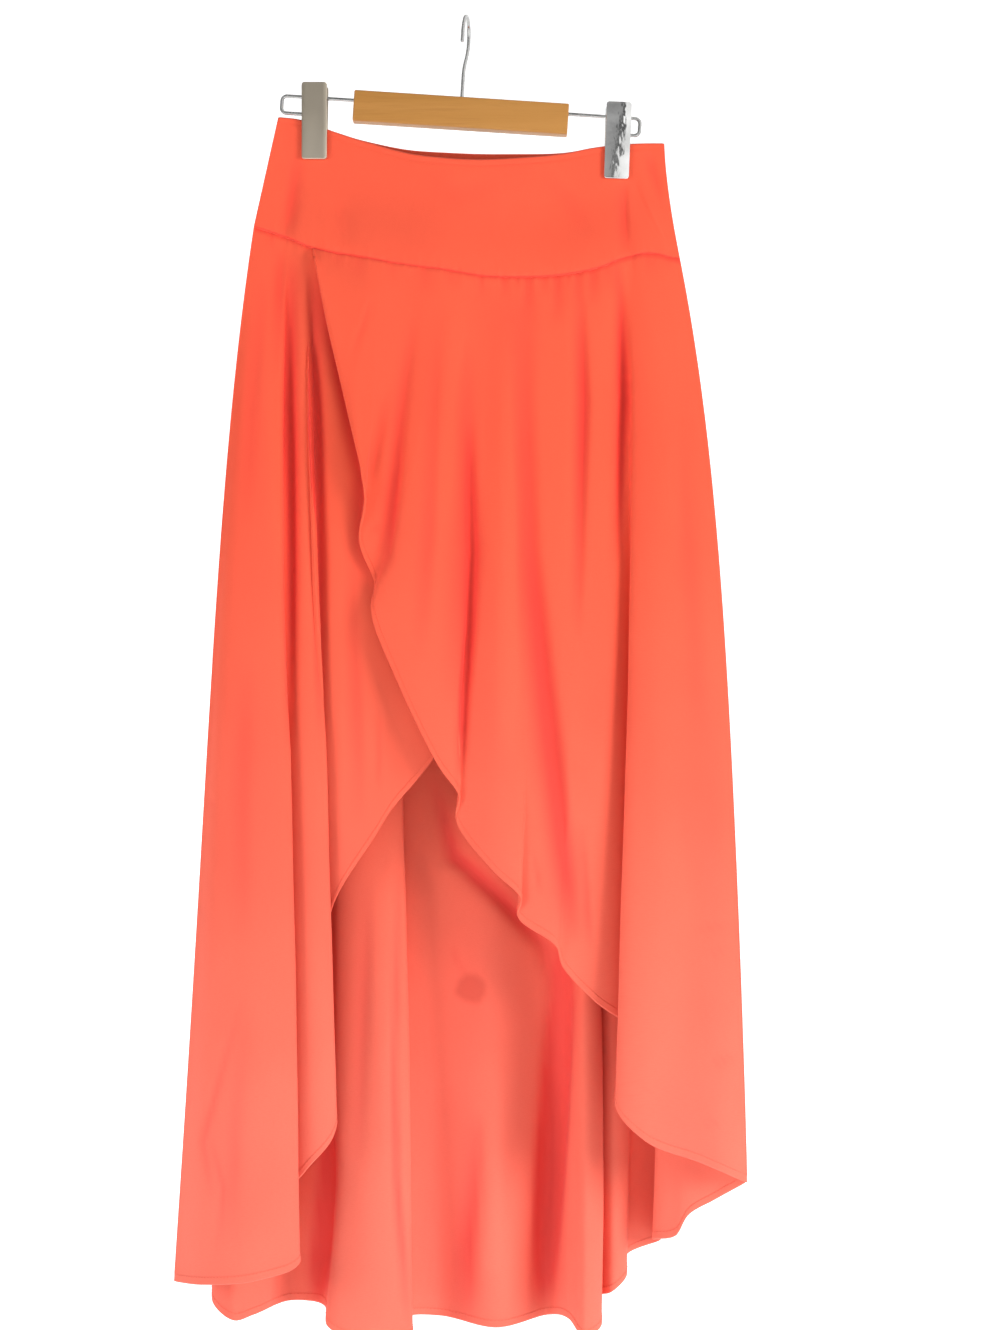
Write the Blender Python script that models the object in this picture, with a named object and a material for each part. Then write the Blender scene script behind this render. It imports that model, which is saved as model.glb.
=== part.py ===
"""High-low wrap skirt hanging from a wooden clip hanger, as separate solids at real size.

The origin is the inside of the hook's crown, where a rail carries the hanger.
+X runs to the right as the front is seen, -Y points out of the front and +Z is up.
Sizes are in millimetres and become metres as the meshes are made.
"""

import itertools
import math
from collections import namedtuple

import bmesh
import bpy
from mathutils import Matrix, Vector

MM = 0.001

# Cloth walls and the gap kept between sewn pieces
CLOTH_WALL = 1.2
BAND_WALL = 2.0
SEAM_GAP = 0.3

# Mesh density of the cloth
STEPS_PER_FOLD = 3
PANEL_ROWS = 11
BAND_COLUMNS = 40
BAND_ROWS = 4

# Waistband: corners across, and how far its two layers stand apart
BAND_TOP_LEFT = -154.0
BAND_TOP_RIGHT = 161.0
BAND_LOW_LEFT = -174.0
BAND_LOW_RIGHT = 174.0
BAND_RIGHT_FLARE = 1.5
TOP_BULGE = 8.0
SEAM_BULGE = 13.0
PINCH_END = 0.34
BACK_TOP_RISE = 5.5

# Both side seams stand out a little more over the hips
HIP_SWELL = 6.0
HIP_REACH = 60.0

# Hanger, upright about the hook's crown before it is tilted
HANGER_TILT = math.radians(3.7)
BAR_LENGTH = 176.0
BAR_HEIGHT = 25.2
BAR_DEPTH = 12.0
BAR_CENTRE_Z = -77.8
BAR_ROUNDING = 3.0
WIRE_RADIUS = 1.5
WIRE_Z = -72.6
WIRE_RETURN_Z = -86.6
WIRE_END_X = 147.0
WIRE_TAIL_X = 120.0
BORE_CLEARANCE = 0.3
BORE_DEPTH = 10.0
BORE_SIDES = 16
HOOK_RADIUS = 17.0
HOOK_TURN = math.radians(83.0)
HOOK_TIP_DROP = 9.0
HOOK_NECK_Z = -46.0
ROD_TURN_STEPS = 10

# Spring clips
CLIP_WIDTH = 20.0
CLIP_WALL = 1.1
CLIP_CORNER = 2.0
CLIP_RISE = 10.6
CLIP_DROP = 50.8
CLIP_TOP_OUT = 8.2
CLIP_PIVOT_OUT = 6.9
CLIP_JAW_OUT = 4.7
CLIP_JAW_START = 30.0
EAR_WALL = 1.0
EAR_REACH = 2.6
EAR_HALF_HEIGHT = 4.4
EAR_HOLE_RADIUS = 2.5
FRONT_EAR_X = 8.0
BACK_EAR_X = 6.5
PAD_WIDTH = 17.0
PAD_WALL = 1.4
PAD_HEIGHT = 16.0
PAD_FOOT = 1.2
SPRING_TURNS = 5
SPRING_STEPS = 10
SPRING_RADIUS = 2.9
SPRING_WIRE = 0.45
SPRING_HALF_LENGTH = 5.0
SPRING_LEG_DROP = 9.0
SPRING_LEG_OUT = 4.9

Edge = namedtuple("Edge", "x z")
Fold = namedtuple("Fold", "name seam_x mid_x mid_y hem_x hem_y hem_z")
BandFold = namedtuple("BandFold", "name top_x low_x width depth")
Clip = namedtuple("Clip", "name along tilt")
Panel = namedtuple("Panel", "name folds side seam_shift")

# Top edge of the front waistband, from left to right
TOP_EDGE = [
    Edge(-154, -81.5), Edge(-137, -83.5), Edge(-116, -91), Edge(-80, -103), Edge(-47, -112.5),
    Edge(-14, -117), Edge(11, -118), Edge(43, -116), Edge(78, -112), Edge(102, -107),
    Edge(124, -104), Edge(146, -103), Edge(161, -103),
]

# Waist seam, from left to right
WAIST_SEAM = [
    Edge(-174, -171), Edge(-149, -179), Edge(-126, -189), Edge(-91, -196), Edge(-55, -203),
    Edge(-18, -208), Edge(11, -213), Edge(43, -214), Edge(76, -212), Edge(109, -205),
    Edge(126, -198), Edge(149, -193), Edge(174, -198),
]

# Soft troughs in the front waistband: place at the top and at the seam, half width, depth inwards
BAND_FOLDS = [
    BandFold("left_of_clip", -137, -150, 9, 2.6),
    BandFold("right_of_left_clip", -113, -99, 11, 1.6),
    BandFold("under_right_clip", 128, 133, 8, 2.4),
    BandFold("ridge_to_right_side", 139, 166, 9, -1.8),
]

# Front underlap, from the left side seam to its hidden end under the overlap
UNDERLAP_FOLDS = [
    Fold("side", -174, -209, 0, -239.5, 0, -1034.5),
    Fold("outer_left", -166, -196, -16, -211, -28, -1029),
    Fold("outer_mid", -158, -169, -24, -168, -44, -1021),
    Fold("first_crest", -148, -141, -20, -134, -36, -1009),
    Fold("first_valley", -144, -150, -8, -162, -12, -978),
    Fold("strip", -137, -132, -14, -130, -24, -938),
    Fold("second_crest", -129, -116, -13, -106, -20, -905),
    Fold("second_valley", -124, -127, -6, -129, 0, -821),
    Fold("lap_turn", -118, -111, -8, -112, -8, -734),
    Fold("lap_corner", -105, -99, -10, -103, -10, -712),
    Fold("lap_low", -79, -77, -11, -75, -9, -669),
    Fold("lap_notch", -58, -59, -11, -62, -7, -648),
    Fold("lap_mid", -30, -28, -12, -28, -10, -607),
    Fold("hidden_low", 9, 9, -11, 19, -9, -530),
    Fold("hidden_mid", 43, 45, -11, 56, -10, -456),
    Fold("hidden_high", 76, 78, -10, 84, -10, -330),
    Fold("hidden_corner", 105, 106, -8, 107, -7, -222),
]

# Front overlap, from its top corner at the left to the right side seam
OVERLAP_FOLDS = [
    Fold("corner", -125, -124, -14, -123, -14, -202),
    Fold("edge_high", -119, -117, -17, -114, -18, -246),
    Fold("edge_low", -105, -101, -21, -98, -24, -315),
    Fold("flute_crest", -90, -87, -24, -85, -30, -373),
    Fold("flute_turn", -72, -77, -22, -82, -24, -400),
    Fold("flute_back", -59, -70, -18, -87, -17, -430),
    Fold("valley", -44, -56, -17, -75, -15, -463),
    Fold("second_flute", -30, -38, -22, -77, -22, -487),
    Fold("edge_mid", -17, -25, -25, -56, -26, -542),
    Fold("edge_swell", -1, -7, -22, -23, -28, -610),
    Fold("third_crest", 9, 3, -20, -6, -24, -636),
    Fold("third_notch", 17, 10, -20, -8, -20, -657),
    Fold("rise", 32, 27, -25, 21, -26, -695),
    Fold("fourth_crest", 47, 45, -23, 44, -27, -718),
    Fold("fourth_notch", 58, 58, -22, 42, -22, -734),
    Fold("broad", 77, 85, -23, 72, -26, -756),
    Fold("fifth_notch", 90, 98, -22, 78, -20, -774),
    Fold("before_fold", 105, 115, -20, 104, -18, -802),
    Fold("fold_under", 128, 135, -10, 148, -6, -840),
    Fold("right_crest", 136, 130, -26, 120, -36, -882),
    Fold("right_face", 146, 148, -32, 143, -46, -909),
    Fold("right_outer", 159, 181, -22, 188, -34, -929),
    Fold("side", 174, 211, 0, 229, 0, -953.5),
]

# Back panel, from the left side seam to the right one
BACK_FOLDS = [
    Fold("side", -174, -209, 0, -239.5, 0, -1034.5),
    Fold("rear_left", -165, -197, 24, -216, 44, -1044),
    Fold("left_lobe_in", -158, -188, 22, -212, 30, -1062),
    Fold("left_lobe", -150, -175, 14, -193, 14, -1071),
    Fold("left_lobe_out", -144, -164, 20, -178, 26, -1070),
    Fold("left_hollow", -131, -140, 34, -151, 62, -1069),
    Fold("flute_in", -119, -116, 25, -120, 42, -1068),
    Fold("flute_edge", -111, -106, 18, -115, 21, -1079),
    Fold("flute_face", -95, -84, 14, -80, 14, -1090),
    Fold("flute_crest", -72, -54, 18, -47, 26, -1088),
    Fold("flute_behind", -67, -63, 28, -51, 52, -1080),
    Fold("middle_left", -51, -37, 34, -24, 68, -1084),
    Fold("middle", -17, 15, 30, 24, 46, -1087),
    Fold("middle_right", 22, 61, 36, 68, 74, -1085),
    Fold("strip_in", 43, 79, 26, 85, 40, -1078),
    Fold("strip_face", 56, 92, 18, 97, 18, -1086),
    Fold("strip_out", 69, 105, 22, 111, 32, -1081),
    Fold("strip_behind", 73, 102, 32, 108, 54, -1064),
    Fold("narrow_face", 87, 115, 26, 121, 40, -1055),
    Fold("narrow_out", 99, 128, 30, 133, 49, -1045),
    Fold("hollow_edge", 106, 138, 35, 134, 63, -1031),
    Fold("right_hollow", 118, 153, 36, 162, 70, -1021),
    Fold("last_crest", 129, 157, 22, 155, 26, -1007),
    Fold("last_face", 141, 175, 16, 172, 14, -1001),
    Fold("last_turn", 151, 188, 15, 183, 12, -983),
    Fold("last_outer", 162, 201, 12, 203, 11, -971),
    Fold("side", 174, 211, 0, 229, 0, -953.5),
]

# Clips: place along the end wires from the hanger's middle, and their own lean
CLIPS = [
    Clip("left", -120.2, math.radians(0.3)),
    Clip("right", 129.0, math.radians(2.0)),
]

FRONT, BACK = -1, 1
HALF_PAIR = (CLOTH_WALL + SEAM_GAP) / 2
PANELS = [
    Panel("front_overlap", OVERLAP_FOLDS, FRONT, -HALF_PAIR),
    Panel("front_underlap", UNDERLAP_FOLDS, FRONT, HALF_PAIR),
    Panel("back_panel", BACK_FOLDS, BACK, 0.0),
]


def clear_scene():
    """Remove whatever objects the scene starts with."""
    for found in list(bpy.data.objects):
        bpy.data.objects.remove(found, do_unlink=True)


def material(name, colour, roughness, metallic=0.0):
    """Principled material in one colour."""
    made = bpy.data.materials.new(name)
    made.use_nodes = True
    shader = made.node_tree.nodes["Principled BSDF"]
    shader.inputs["Base Color"].default_value = (*colour, 1.0)
    shader.inputs["Roughness"].default_value = roughness
    shader.inputs["Metallic"].default_value = metallic
    return made


def smooth_step(share):
    """Ease from 0 to 1 with level ends."""
    share = min(max(share, 0.0), 1.0)
    return share * share * (3 - 2 * share)


def smooth_span(before, start, end, after, share):
    """Point between start and end on a centripetal curve through all four."""
    first = max((start - before).length, 0.01) ** 0.5
    middle = max((end - start).length, 0.01) ** 0.5
    last = max((after - end).length, 0.01) ** 0.5
    leave = (start - before) / first - (end - before) / (first + middle) + (end - start) / middle
    arrive = (end - start) / middle - (after - start) / (middle + last) + (after - end) / last
    square, cube = share * share, share * share * share
    return (
        start * (2 * cube - 3 * square + 1)
        + leave * middle * (cube - 2 * square + share)
        + end * (3 * square - 2 * cube)
        + arrive * middle * (cube - square)
    )


def smooth_line(points, place):
    """Point at a place along a smooth curve, counted in points from the first one."""
    index = min(int(place), len(points) - 2)
    start, end = points[index], points[index + 1]
    before = points[index - 1] if index > 0 else start * 2 - end
    after = points[index + 2] if index + 2 < len(points) else end * 2 - start
    return smooth_span(before, start, end, after, place - index)


def edge_height(edge, x):
    """Height of a table edge at x, on smooth spans between its rows."""
    index = max(i for i, row in enumerate(edge[:-1]) if row.x <= x or i == 0)
    slopes = [(b.z - a.z) / (b.x - a.x) for a, b in zip(edge, edge[1:])]
    bends = [slopes[0]] + [(a + b) / 2 for a, b in zip(slopes, slopes[1:])] + [slopes[-1]]
    left, right = edge[index], edge[index + 1]
    width = right.x - left.x
    share = (x - left.x) / width
    square, cube = share * share, share * share * share
    return (
        left.z * (2 * cube - 3 * square + 1)
        + bends[index] * width * (cube - 2 * square + share)
        + right.z * (3 * square - 2 * cube)
        + bends[index + 1] * width * (cube - square)
    )


def top_bulge(x):
    """Distance that a layer bows out at the top edge, nothing where the clips pinch it."""
    left, right = (clip_matrix(clip).translation.x for clip in CLIPS)
    left += CLIP_WIDTH / 2
    right -= CLIP_WIDTH / 2
    if x <= left or x >= right:
        return 0.0
    share = (x - left) / (right - left)
    return TOP_BULGE * math.sin(math.pi * share) ** 2


def seam_bulge(x):
    """Distance that a layer bows out at the waist seam, nothing at the side seams."""
    return SEAM_BULGE * (1 - (x / BAND_LOW_RIGHT) ** 2)


def band_relief(x, drop):
    """Depth of the front band's soft troughs at a place."""
    total = 0.0
    for fold in BAND_FOLDS:
        line_x = fold.top_x + (fold.low_x - fold.top_x) * drop
        spread = (x - line_x) / fold.width
        total += fold.depth * math.exp(-spread * spread) * smooth_step((drop - PINCH_END) * 3)
    return total


def band_point(side, share, drop):
    """Point on a waistband layer: share across, drop from its top edge to the waist seam."""
    left = BAND_TOP_LEFT + (BAND_LOW_LEFT - BAND_TOP_LEFT) * drop
    right = BAND_TOP_RIGHT + (BAND_LOW_RIGHT - BAND_TOP_RIGHT) * drop ** BAND_RIGHT_FLARE
    top_x = BAND_TOP_LEFT + (BAND_TOP_RIGHT - BAND_TOP_LEFT) * share
    seam_x = BAND_LOW_LEFT + (BAND_LOW_RIGHT - BAND_LOW_LEFT) * share
    x = left + (right - left) * share
    top_z = edge_height(TOP_EDGE, top_x)
    if side == BACK:
        top_z += BACK_TOP_RISE * top_bulge(top_x) / TOP_BULGE
    seam_z = edge_height(WAIST_SEAM, seam_x) + SEAM_GAP / 2
    opening = smooth_step((drop - PINCH_END) / (1 - PINCH_END))
    bulge = top_bulge(x) * (1 - opening) + seam_bulge(seam_x) * opening
    depth = (BAND_WALL + SEAM_GAP) / 2 + bulge
    if side == FRONT:
        depth -= band_relief(x, drop) * min(1.0, bulge / 3)
    return Vector((x, side * depth, top_z + (seam_z - top_z) * drop))


def seam_point(panel, seam_x):
    """Point where a panel's cloth leaves the waist seam."""
    share = (seam_x - BAND_LOW_LEFT) / (BAND_LOW_RIGHT - BAND_LOW_LEFT)
    point = band_point(panel.side, share, 1.0)
    point.y += panel.seam_shift
    point.z -= SEAM_GAP
    return point


def side_shift(panel, place):
    """Step that keeps the front and back walls apart where they meet at a side seam."""
    ends = [i for i, fold in enumerate(panel.folds) if fold.name == "side"]
    nearness = max(0.0, 1 - min(abs(place - end) for end in ends))
    return panel.side * HALF_PAIR * nearness


def hip_swell(seam_x, drop):
    """Outward step over the hips, greatest a quarter of the way down and fading from the sides."""
    from_side = BAND_LOW_RIGHT - abs(seam_x)
    height = drop * (1 - drop) ** 3 / (0.25 * 0.75 ** 3)
    return math.copysign(HIP_SWELL * height * (1 - smooth_step(from_side / HIP_REACH)), seam_x)


def panel_point(panel, place, drop):
    """Point on a panel: place counted in folds from its first, drop from waist seam to hem."""
    seam_x = smooth_line([Vector((fold.seam_x, 0, 0)) for fold in panel.folds], place).x
    mid = smooth_line([Vector((fold.mid_x, fold.mid_y, 0)) for fold in panel.folds], place)
    hem = smooth_line([Vector((fold.hem_x, fold.hem_y, fold.hem_z)) for fold in panel.folds], place)
    seam = seam_point(panel, seam_x)
    step = side_shift(panel, place)
    mid.y += step
    hem.y += step
    mid.z = (seam.z + hem.z) / 2
    point = (
        seam * ((1 - drop) * (1 - 2 * drop))
        + mid * (4 * drop * (1 - drop))
        + hem * (drop * (2 * drop - 1))
    )
    point.x += hip_swell(seam_x, drop)
    return point


def grid_normals(rows):
    """Unit normal at each point of a grid, pointing to the viewer's side of the front."""
    normals = []
    last_row, last_column = len(rows) - 1, len(rows[0]) - 1
    for r, row in enumerate(rows):
        line = []
        for c in range(len(row)):
            across = row[min(c + 1, last_column)] - row[max(c - 1, 0)]
            down = rows[min(r + 1, last_row)][c] - rows[max(r - 1, 0)][c]
            line.append(down.cross(across).normalized())
        normals.append(line)
    return normals


def add_node(name, shape, finish):
    """Link a mesh or a curve as one named object with its material."""
    shape.materials.append(finish)
    made = bpy.data.objects.new(name, shape)
    bpy.context.scene.collection.objects.link(made)
    return made


def add_solid(name, points, faces, finish, place=Matrix()):
    """Named object from points in millimetres, put in its place and turned into metres."""
    mesh = bpy.data.meshes.new(name)
    mesh.from_pydata([place @ Vector(point) * MM for point in points], [], faces)
    return add_node(name, mesh, finish)


def wall_from_grid(name, rows, wall, finish, place=Matrix()):
    """Closed wall of even thickness about a grid of points."""
    normals = grid_normals(rows)
    columns = len(rows[0])
    near = [p + n * wall / 2 for row, line in zip(rows, normals) for p, n in zip(row, line)]
    far = [p - n * wall / 2 for row, line in zip(rows, normals) for p, n in zip(row, line)]
    shift = len(near)
    faces = []
    for r in range(len(rows) - 1):
        for c in range(columns - 1):
            a = r * columns + c
            b, d = a + 1, a + columns
            faces.append((a, d, d + 1, b))
            faces.append((a + shift, b + shift, d + 1 + shift, d + shift))
    rim = list(range(columns))
    rim += [r * columns + columns - 1 for r in range(1, len(rows))]
    rim += [(len(rows) - 1) * columns + c for c in range(columns - 2, -1, -1)]
    rim += [r * columns for r in range(len(rows) - 2, 0, -1)]
    for a, b in zip(rim, rim[1:] + rim[:1]):
        faces.append((a, b, b + shift, a + shift))
    made = add_solid(name, near + far, faces, finish, place)
    made.data.shade_smooth()
    made.data.set_sharp_from_angle(angle=math.radians(50))
    return made


def make_waistband(finish):
    """Front and back layers of the wide waistband."""
    for name, side in (("waistband_front", FRONT), ("waistband_back", BACK)):
        rows = []
        for r in range(BAND_ROWS + 1):
            drop = r / BAND_ROWS
            rows.append([band_point(side, c / BAND_COLUMNS, drop) for c in range(BAND_COLUMNS + 1)])
        wall_from_grid(name, rows, BAND_WALL, finish)


def make_panels(finish):
    """The two crossed front panels and the longer back panel."""
    for panel in PANELS:
        columns = (len(panel.folds) - 1) * STEPS_PER_FOLD
        rows = []
        for r in range(PANEL_ROWS + 1):
            drop = r / PANEL_ROWS
            rows.append([panel_point(panel, c / STEPS_PER_FOLD, drop) for c in range(columns + 1)])
        wall_from_grid(panel.name, rows, CLOTH_WALL, finish)


def hanger_matrix():
    """The hanger's lean about the hook's crown, its right end lower."""
    return Matrix.Rotation(HANGER_TILT, 4, "Y")


def rod(name, points, radius, place, finish, resolution=2):
    """Round rod with flat ends along a list of points."""
    curve = bpy.data.curves.new(name, "CURVE")
    curve.dimensions = "3D"
    spline = curve.splines.new("POLY")
    spline.points.add(len(points) - 1)
    for slot, point in zip(spline.points, points):
        slot.co = (*(place @ Vector(point) * MM), 1.0)
    curve.bevel_depth = radius * MM
    curve.bevel_resolution = resolution
    curve.use_fill_caps = True
    return add_node(name, curve, finish)


def arc(centre, radius, start, end, axes):
    """Points on an arc in the plane of two of the axes, angles in degrees."""
    points = []
    for i in range(ROD_TURN_STEPS + 1):
        angle = math.radians(start + (end - start) * i / ROD_TURN_STEPS)
        point = Vector(centre)
        point[axes[0]] += radius * math.cos(angle)
        point[axes[1]] += radius * math.sin(angle)
        points.append(point)
    return points


def box(name, low, high, finish, place):
    """Plain box between two opposite corners."""
    corners = list(itertools.product(*zip(low, high)))
    faces = [(0, 1, 3, 2), (4, 6, 7, 5), (0, 4, 5, 1), (2, 3, 7, 6), (0, 2, 6, 4), (1, 5, 7, 3)]
    return add_solid(name, corners, faces, finish, place)


def bore_tool(name, radius, low, high, finish, place):
    """Hidden cylinder between two points on a line along X or Z that cuts a bore."""
    others = [i for i in range(3) if low[i] == high[i]]
    points = []
    for end in (low, high):
        for i in range(BORE_SIDES):
            angle = 2 * math.pi * i / BORE_SIDES
            point = Vector(end)
            point[others[0]] += radius * math.cos(angle)
            point[others[1]] += radius * math.sin(angle)
            points.append(point)
    faces = [tuple(range(BORE_SIDES)), tuple(range(2 * BORE_SIDES - 1, BORE_SIDES - 1, -1))]
    for i in range(BORE_SIDES):
        after = (i + 1) % BORE_SIDES
        faces.append((i, after, BORE_SIDES + after, BORE_SIDES + i))
    return hide_tool(add_solid(name, points, faces, finish, place))


def hide_tool(made):
    """Mark an object as a shaping tool and point its faces outwards."""
    made.hide_render = True
    made.display_type = "WIRE"
    edit = bmesh.new()
    edit.from_mesh(made.data)
    bmesh.ops.recalc_face_normals(edit, faces=edit.faces)
    edit.to_mesh(made.data)
    edit.free()
    return made


def combine(made, tool, operation):
    """Add or cut a hidden shape on an object."""
    step = made.modifiers.new(f"{operation.lower()}_{tool.name}", "BOOLEAN")
    step.operation = operation
    step.object = tool
    step.solver = "EXACT"


def make_bar(finish):
    """Wooden bar with rounded edges and blind bores for the hook and the end wires."""
    lean = hanger_matrix()
    half = Vector((BAR_LENGTH, BAR_DEPTH, BAR_HEIGHT)) / 2
    centre = Vector((0, 0, BAR_CENTRE_Z))
    bar = box("hanger_bar", centre - half, centre + half, finish, lean)
    rounding = bar.modifiers.new("rounded_edges", "BEVEL")
    rounding.width = BAR_ROUNDING * MM
    rounding.segments = 3
    bore = WIRE_RADIUS + BORE_CLEARANCE
    top = BAR_CENTRE_Z + BAR_HEIGHT / 2
    bores = [
        ("bore_hook", (0, 0, top - BORE_DEPTH), (0, 0, top + 2)),
        ("bore_left", (-half.x - 2, 0, WIRE_Z), (-half.x + BORE_DEPTH, 0, WIRE_Z)),
        ("bore_right", (half.x - BORE_DEPTH, 0, WIRE_Z), (half.x + 2, 0, WIRE_Z)),
    ]
    for name, low, high in bores:
        combine(bar, bore_tool(name, bore, low, high, finish, lean), "DIFFERENCE")


def make_hook(finish):
    """Hook that stands in the bar, its plane almost square to the bar."""
    place = hanger_matrix() @ Matrix.Rotation(HOOK_TURN, 4, "Z")
    foot = BAR_CENTRE_Z + BAR_HEIGHT / 2 - BORE_DEPTH + SEAM_GAP
    centre_z = WIRE_RADIUS - HOOK_RADIUS
    points = [Vector((0, 0, foot)), Vector((0, 0, (foot + HOOK_NECK_Z) / 2))]
    for i in range(ROD_TURN_STEPS):
        share = i / ROD_TURN_STEPS
        x = HOOK_RADIUS * smooth_step(share)
        points.append(Vector((x, 0, HOOK_NECK_Z + (centre_z - HOOK_NECK_Z) * share)))
    points += arc((0, 0, centre_z), HOOK_RADIUS, 0, 180, (0, 2))
    points.append(Vector((-HOOK_RADIUS + 0.4, 0, centre_z - HOOK_TIP_DROP / 2)))
    points.append(Vector((-HOOK_RADIUS - 0.6, 0, centre_z - HOOK_TIP_DROP)))
    rod("hanger_hook", points, WIRE_RADIUS, place, finish)


def make_end_wires(finish):
    """Wire at each end of the bar, bent back on itself so that the clip can't slide off."""
    bend = (WIRE_Z - WIRE_RETURN_Z) / 2
    inner = BAR_LENGTH / 2 - BORE_DEPTH + SEAM_GAP
    for name, side in (("hanger_wire_left", -1), ("hanger_wire_right", 1)):
        turn = arc((WIRE_END_X - bend, 0, WIRE_Z - bend), bend, 90, -90, (0, 2))
        points = [Vector((inner, 0, WIRE_Z)), Vector((WIRE_TAIL_X, 0, WIRE_Z))]
        points += turn + [Vector((WIRE_TAIL_X, 0, WIRE_RETURN_Z))]
        points = [Vector((side * p.x, p.y, p.z)) for p in points]
        rod(name, points, WIRE_RADIUS, hanger_matrix(), finish)


def clip_matrix(clip):
    """Place of a clip: its pivot on the end wire, turned by its own tilt."""
    pivot = hanger_matrix() @ Vector((clip.along, 0, WIRE_Z))
    return Matrix.Translation(pivot) @ Matrix.Rotation(clip.tilt, 4, "Y")


def plate_out(z):
    """Distance of a clip plate's middle from the clip's centre plane at a height."""
    if z > 0:
        return CLIP_PIVOT_OUT + (CLIP_TOP_OUT - CLIP_PIVOT_OUT) * z / CLIP_RISE
    closing = smooth_step(-z / CLIP_JAW_START)
    return CLIP_PIVOT_OUT + (CLIP_JAW_OUT - CLIP_PIVOT_OUT) * closing


def make_clip_plate(name, clip, side, ear_x, finish):
    """Sprung steel plate with rounded corners and two ears that turn on the wire."""
    corner_drops = [0, 0.3, 1.0, CLIP_CORNER]
    heights = [CLIP_RISE - drop for drop in corner_drops]
    heights += [4.0, 0.0, -8.0, -16.0, -24.0, -CLIP_JAW_START]
    heights += [-CLIP_DROP + drop for drop in reversed(corner_drops)]
    rows = []
    for z in heights:
        inset = CLIP_CORNER - min(CLIP_RISE - z, z + CLIP_DROP, CLIP_CORNER)
        half = CLIP_WIDTH / 2 - CLIP_CORNER + math.sqrt(CLIP_CORNER ** 2 - inset ** 2)
        half = max(half, CLIP_WIDTH / 2 - CLIP_CORNER)
        rows.append([Vector((x, side * plate_out(z), z)) for x in (-half, half)])
    place = clip_matrix(clip)
    plate = wall_from_grid(name, rows, CLIP_WALL, finish, place)
    for ear_side in (-1, 1):
        near = ear_side * ear_x - EAR_WALL / 2
        ends = sorted((side * CLIP_PIVOT_OUT, -side * EAR_REACH))
        low = (near, ends[0], -EAR_HALF_HEIGHT)
        high = (near + EAR_WALL, ends[1], EAR_HALF_HEIGHT)
        ear = hide_tool(box(f"{name}_ear_{ear_side + 1}", low, high, finish, place))
        combine(plate, ear, "UNION")
    reach = ear_x + EAR_WALL
    bore = bore_tool(f"{name}_bore", EAR_HOLE_RADIUS, (-reach, 0, 0), (reach, 0, 0), finish, place)
    combine(plate, bore, "DIFFERENCE")


def make_clip_pad(name, clip, side, finish):
    """Soft pad inside a jaw, facing the cloth."""
    inner = BAND_WALL + SEAM_GAP * 1.5
    ends = sorted((side * inner, side * (inner + PAD_WALL)))
    low = (-PAD_WIDTH / 2, ends[0], -CLIP_DROP + PAD_FOOT)
    high = (PAD_WIDTH / 2, ends[1], -CLIP_DROP + PAD_FOOT + PAD_HEIGHT)
    box(name, low, high, finish, clip_matrix(clip))


def make_clip_spring(name, clip, finish):
    """Coil spring round the wire, with a leg against each plate."""
    steps = SPRING_TURNS * SPRING_STEPS + SPRING_STEPS // 2
    points = [Vector((-SPRING_HALF_LENGTH, -SPRING_LEG_OUT, -SPRING_LEG_DROP))]
    for i in range(steps + 1):
        angle = math.pi + 2 * math.pi * i / SPRING_STEPS
        x = -SPRING_HALF_LENGTH + 2 * SPRING_HALF_LENGTH * i / steps
        points.append(Vector((x, SPRING_RADIUS * math.cos(angle), -SPRING_RADIUS * math.sin(angle))))
    points.append(Vector((SPRING_HALF_LENGTH, SPRING_LEG_OUT, -SPRING_LEG_DROP)))
    rod(name, points, SPRING_WIRE, clip_matrix(clip), finish, resolution=1)


def make_clips(steel, rubber):
    """Both spring clips, closed on the waistband."""
    for clip in CLIPS:
        make_clip_plate(f"clip_{clip.name}_front_plate", clip, FRONT, FRONT_EAR_X, steel)
        make_clip_plate(f"clip_{clip.name}_back_plate", clip, BACK, BACK_EAR_X, steel)
        make_clip_pad(f"clip_{clip.name}_front_pad", clip, FRONT, rubber)
        make_clip_pad(f"clip_{clip.name}_back_pad", clip, BACK, rubber)
        make_clip_spring(f"clip_{clip.name}_spring", clip, steel)


def main():
    clear_scene()
    cloth = material("coral_crepe", (0.87, 0.13, 0.06), 0.75)
    wood = material("varnished_wood", (0.55, 0.25, 0.06), 0.45)
    steel = material("polished_steel", (0.62, 0.61, 0.58), 0.22, metallic=1.0)
    rubber = material("clip_pad", (0.72, 0.7, 0.66), 0.6)
    make_waistband(cloth)
    make_panels(cloth)
    make_bar(wood)
    make_hook(steel)
    make_end_wires(steel)
    make_clips(steel, rubber)


main()
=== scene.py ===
"""High-low wrap skirt on a wooden clip hanger, modelled and finished around its solids.

Laid out as an add-on and run as a script: each operator makes one group of pieces.
The cloth tables below are in millimetres, in the frame of the solids: +X right, -Y out of the
front, +Z up, with the origin inside the hook's crown.
"""

import math
from collections import namedtuple

import bmesh
import bpy
import numpy as np
from bpy.props import FloatProperty, FloatVectorProperty, IntProperty, PointerProperty
from mathutils import Matrix, Vector


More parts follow.
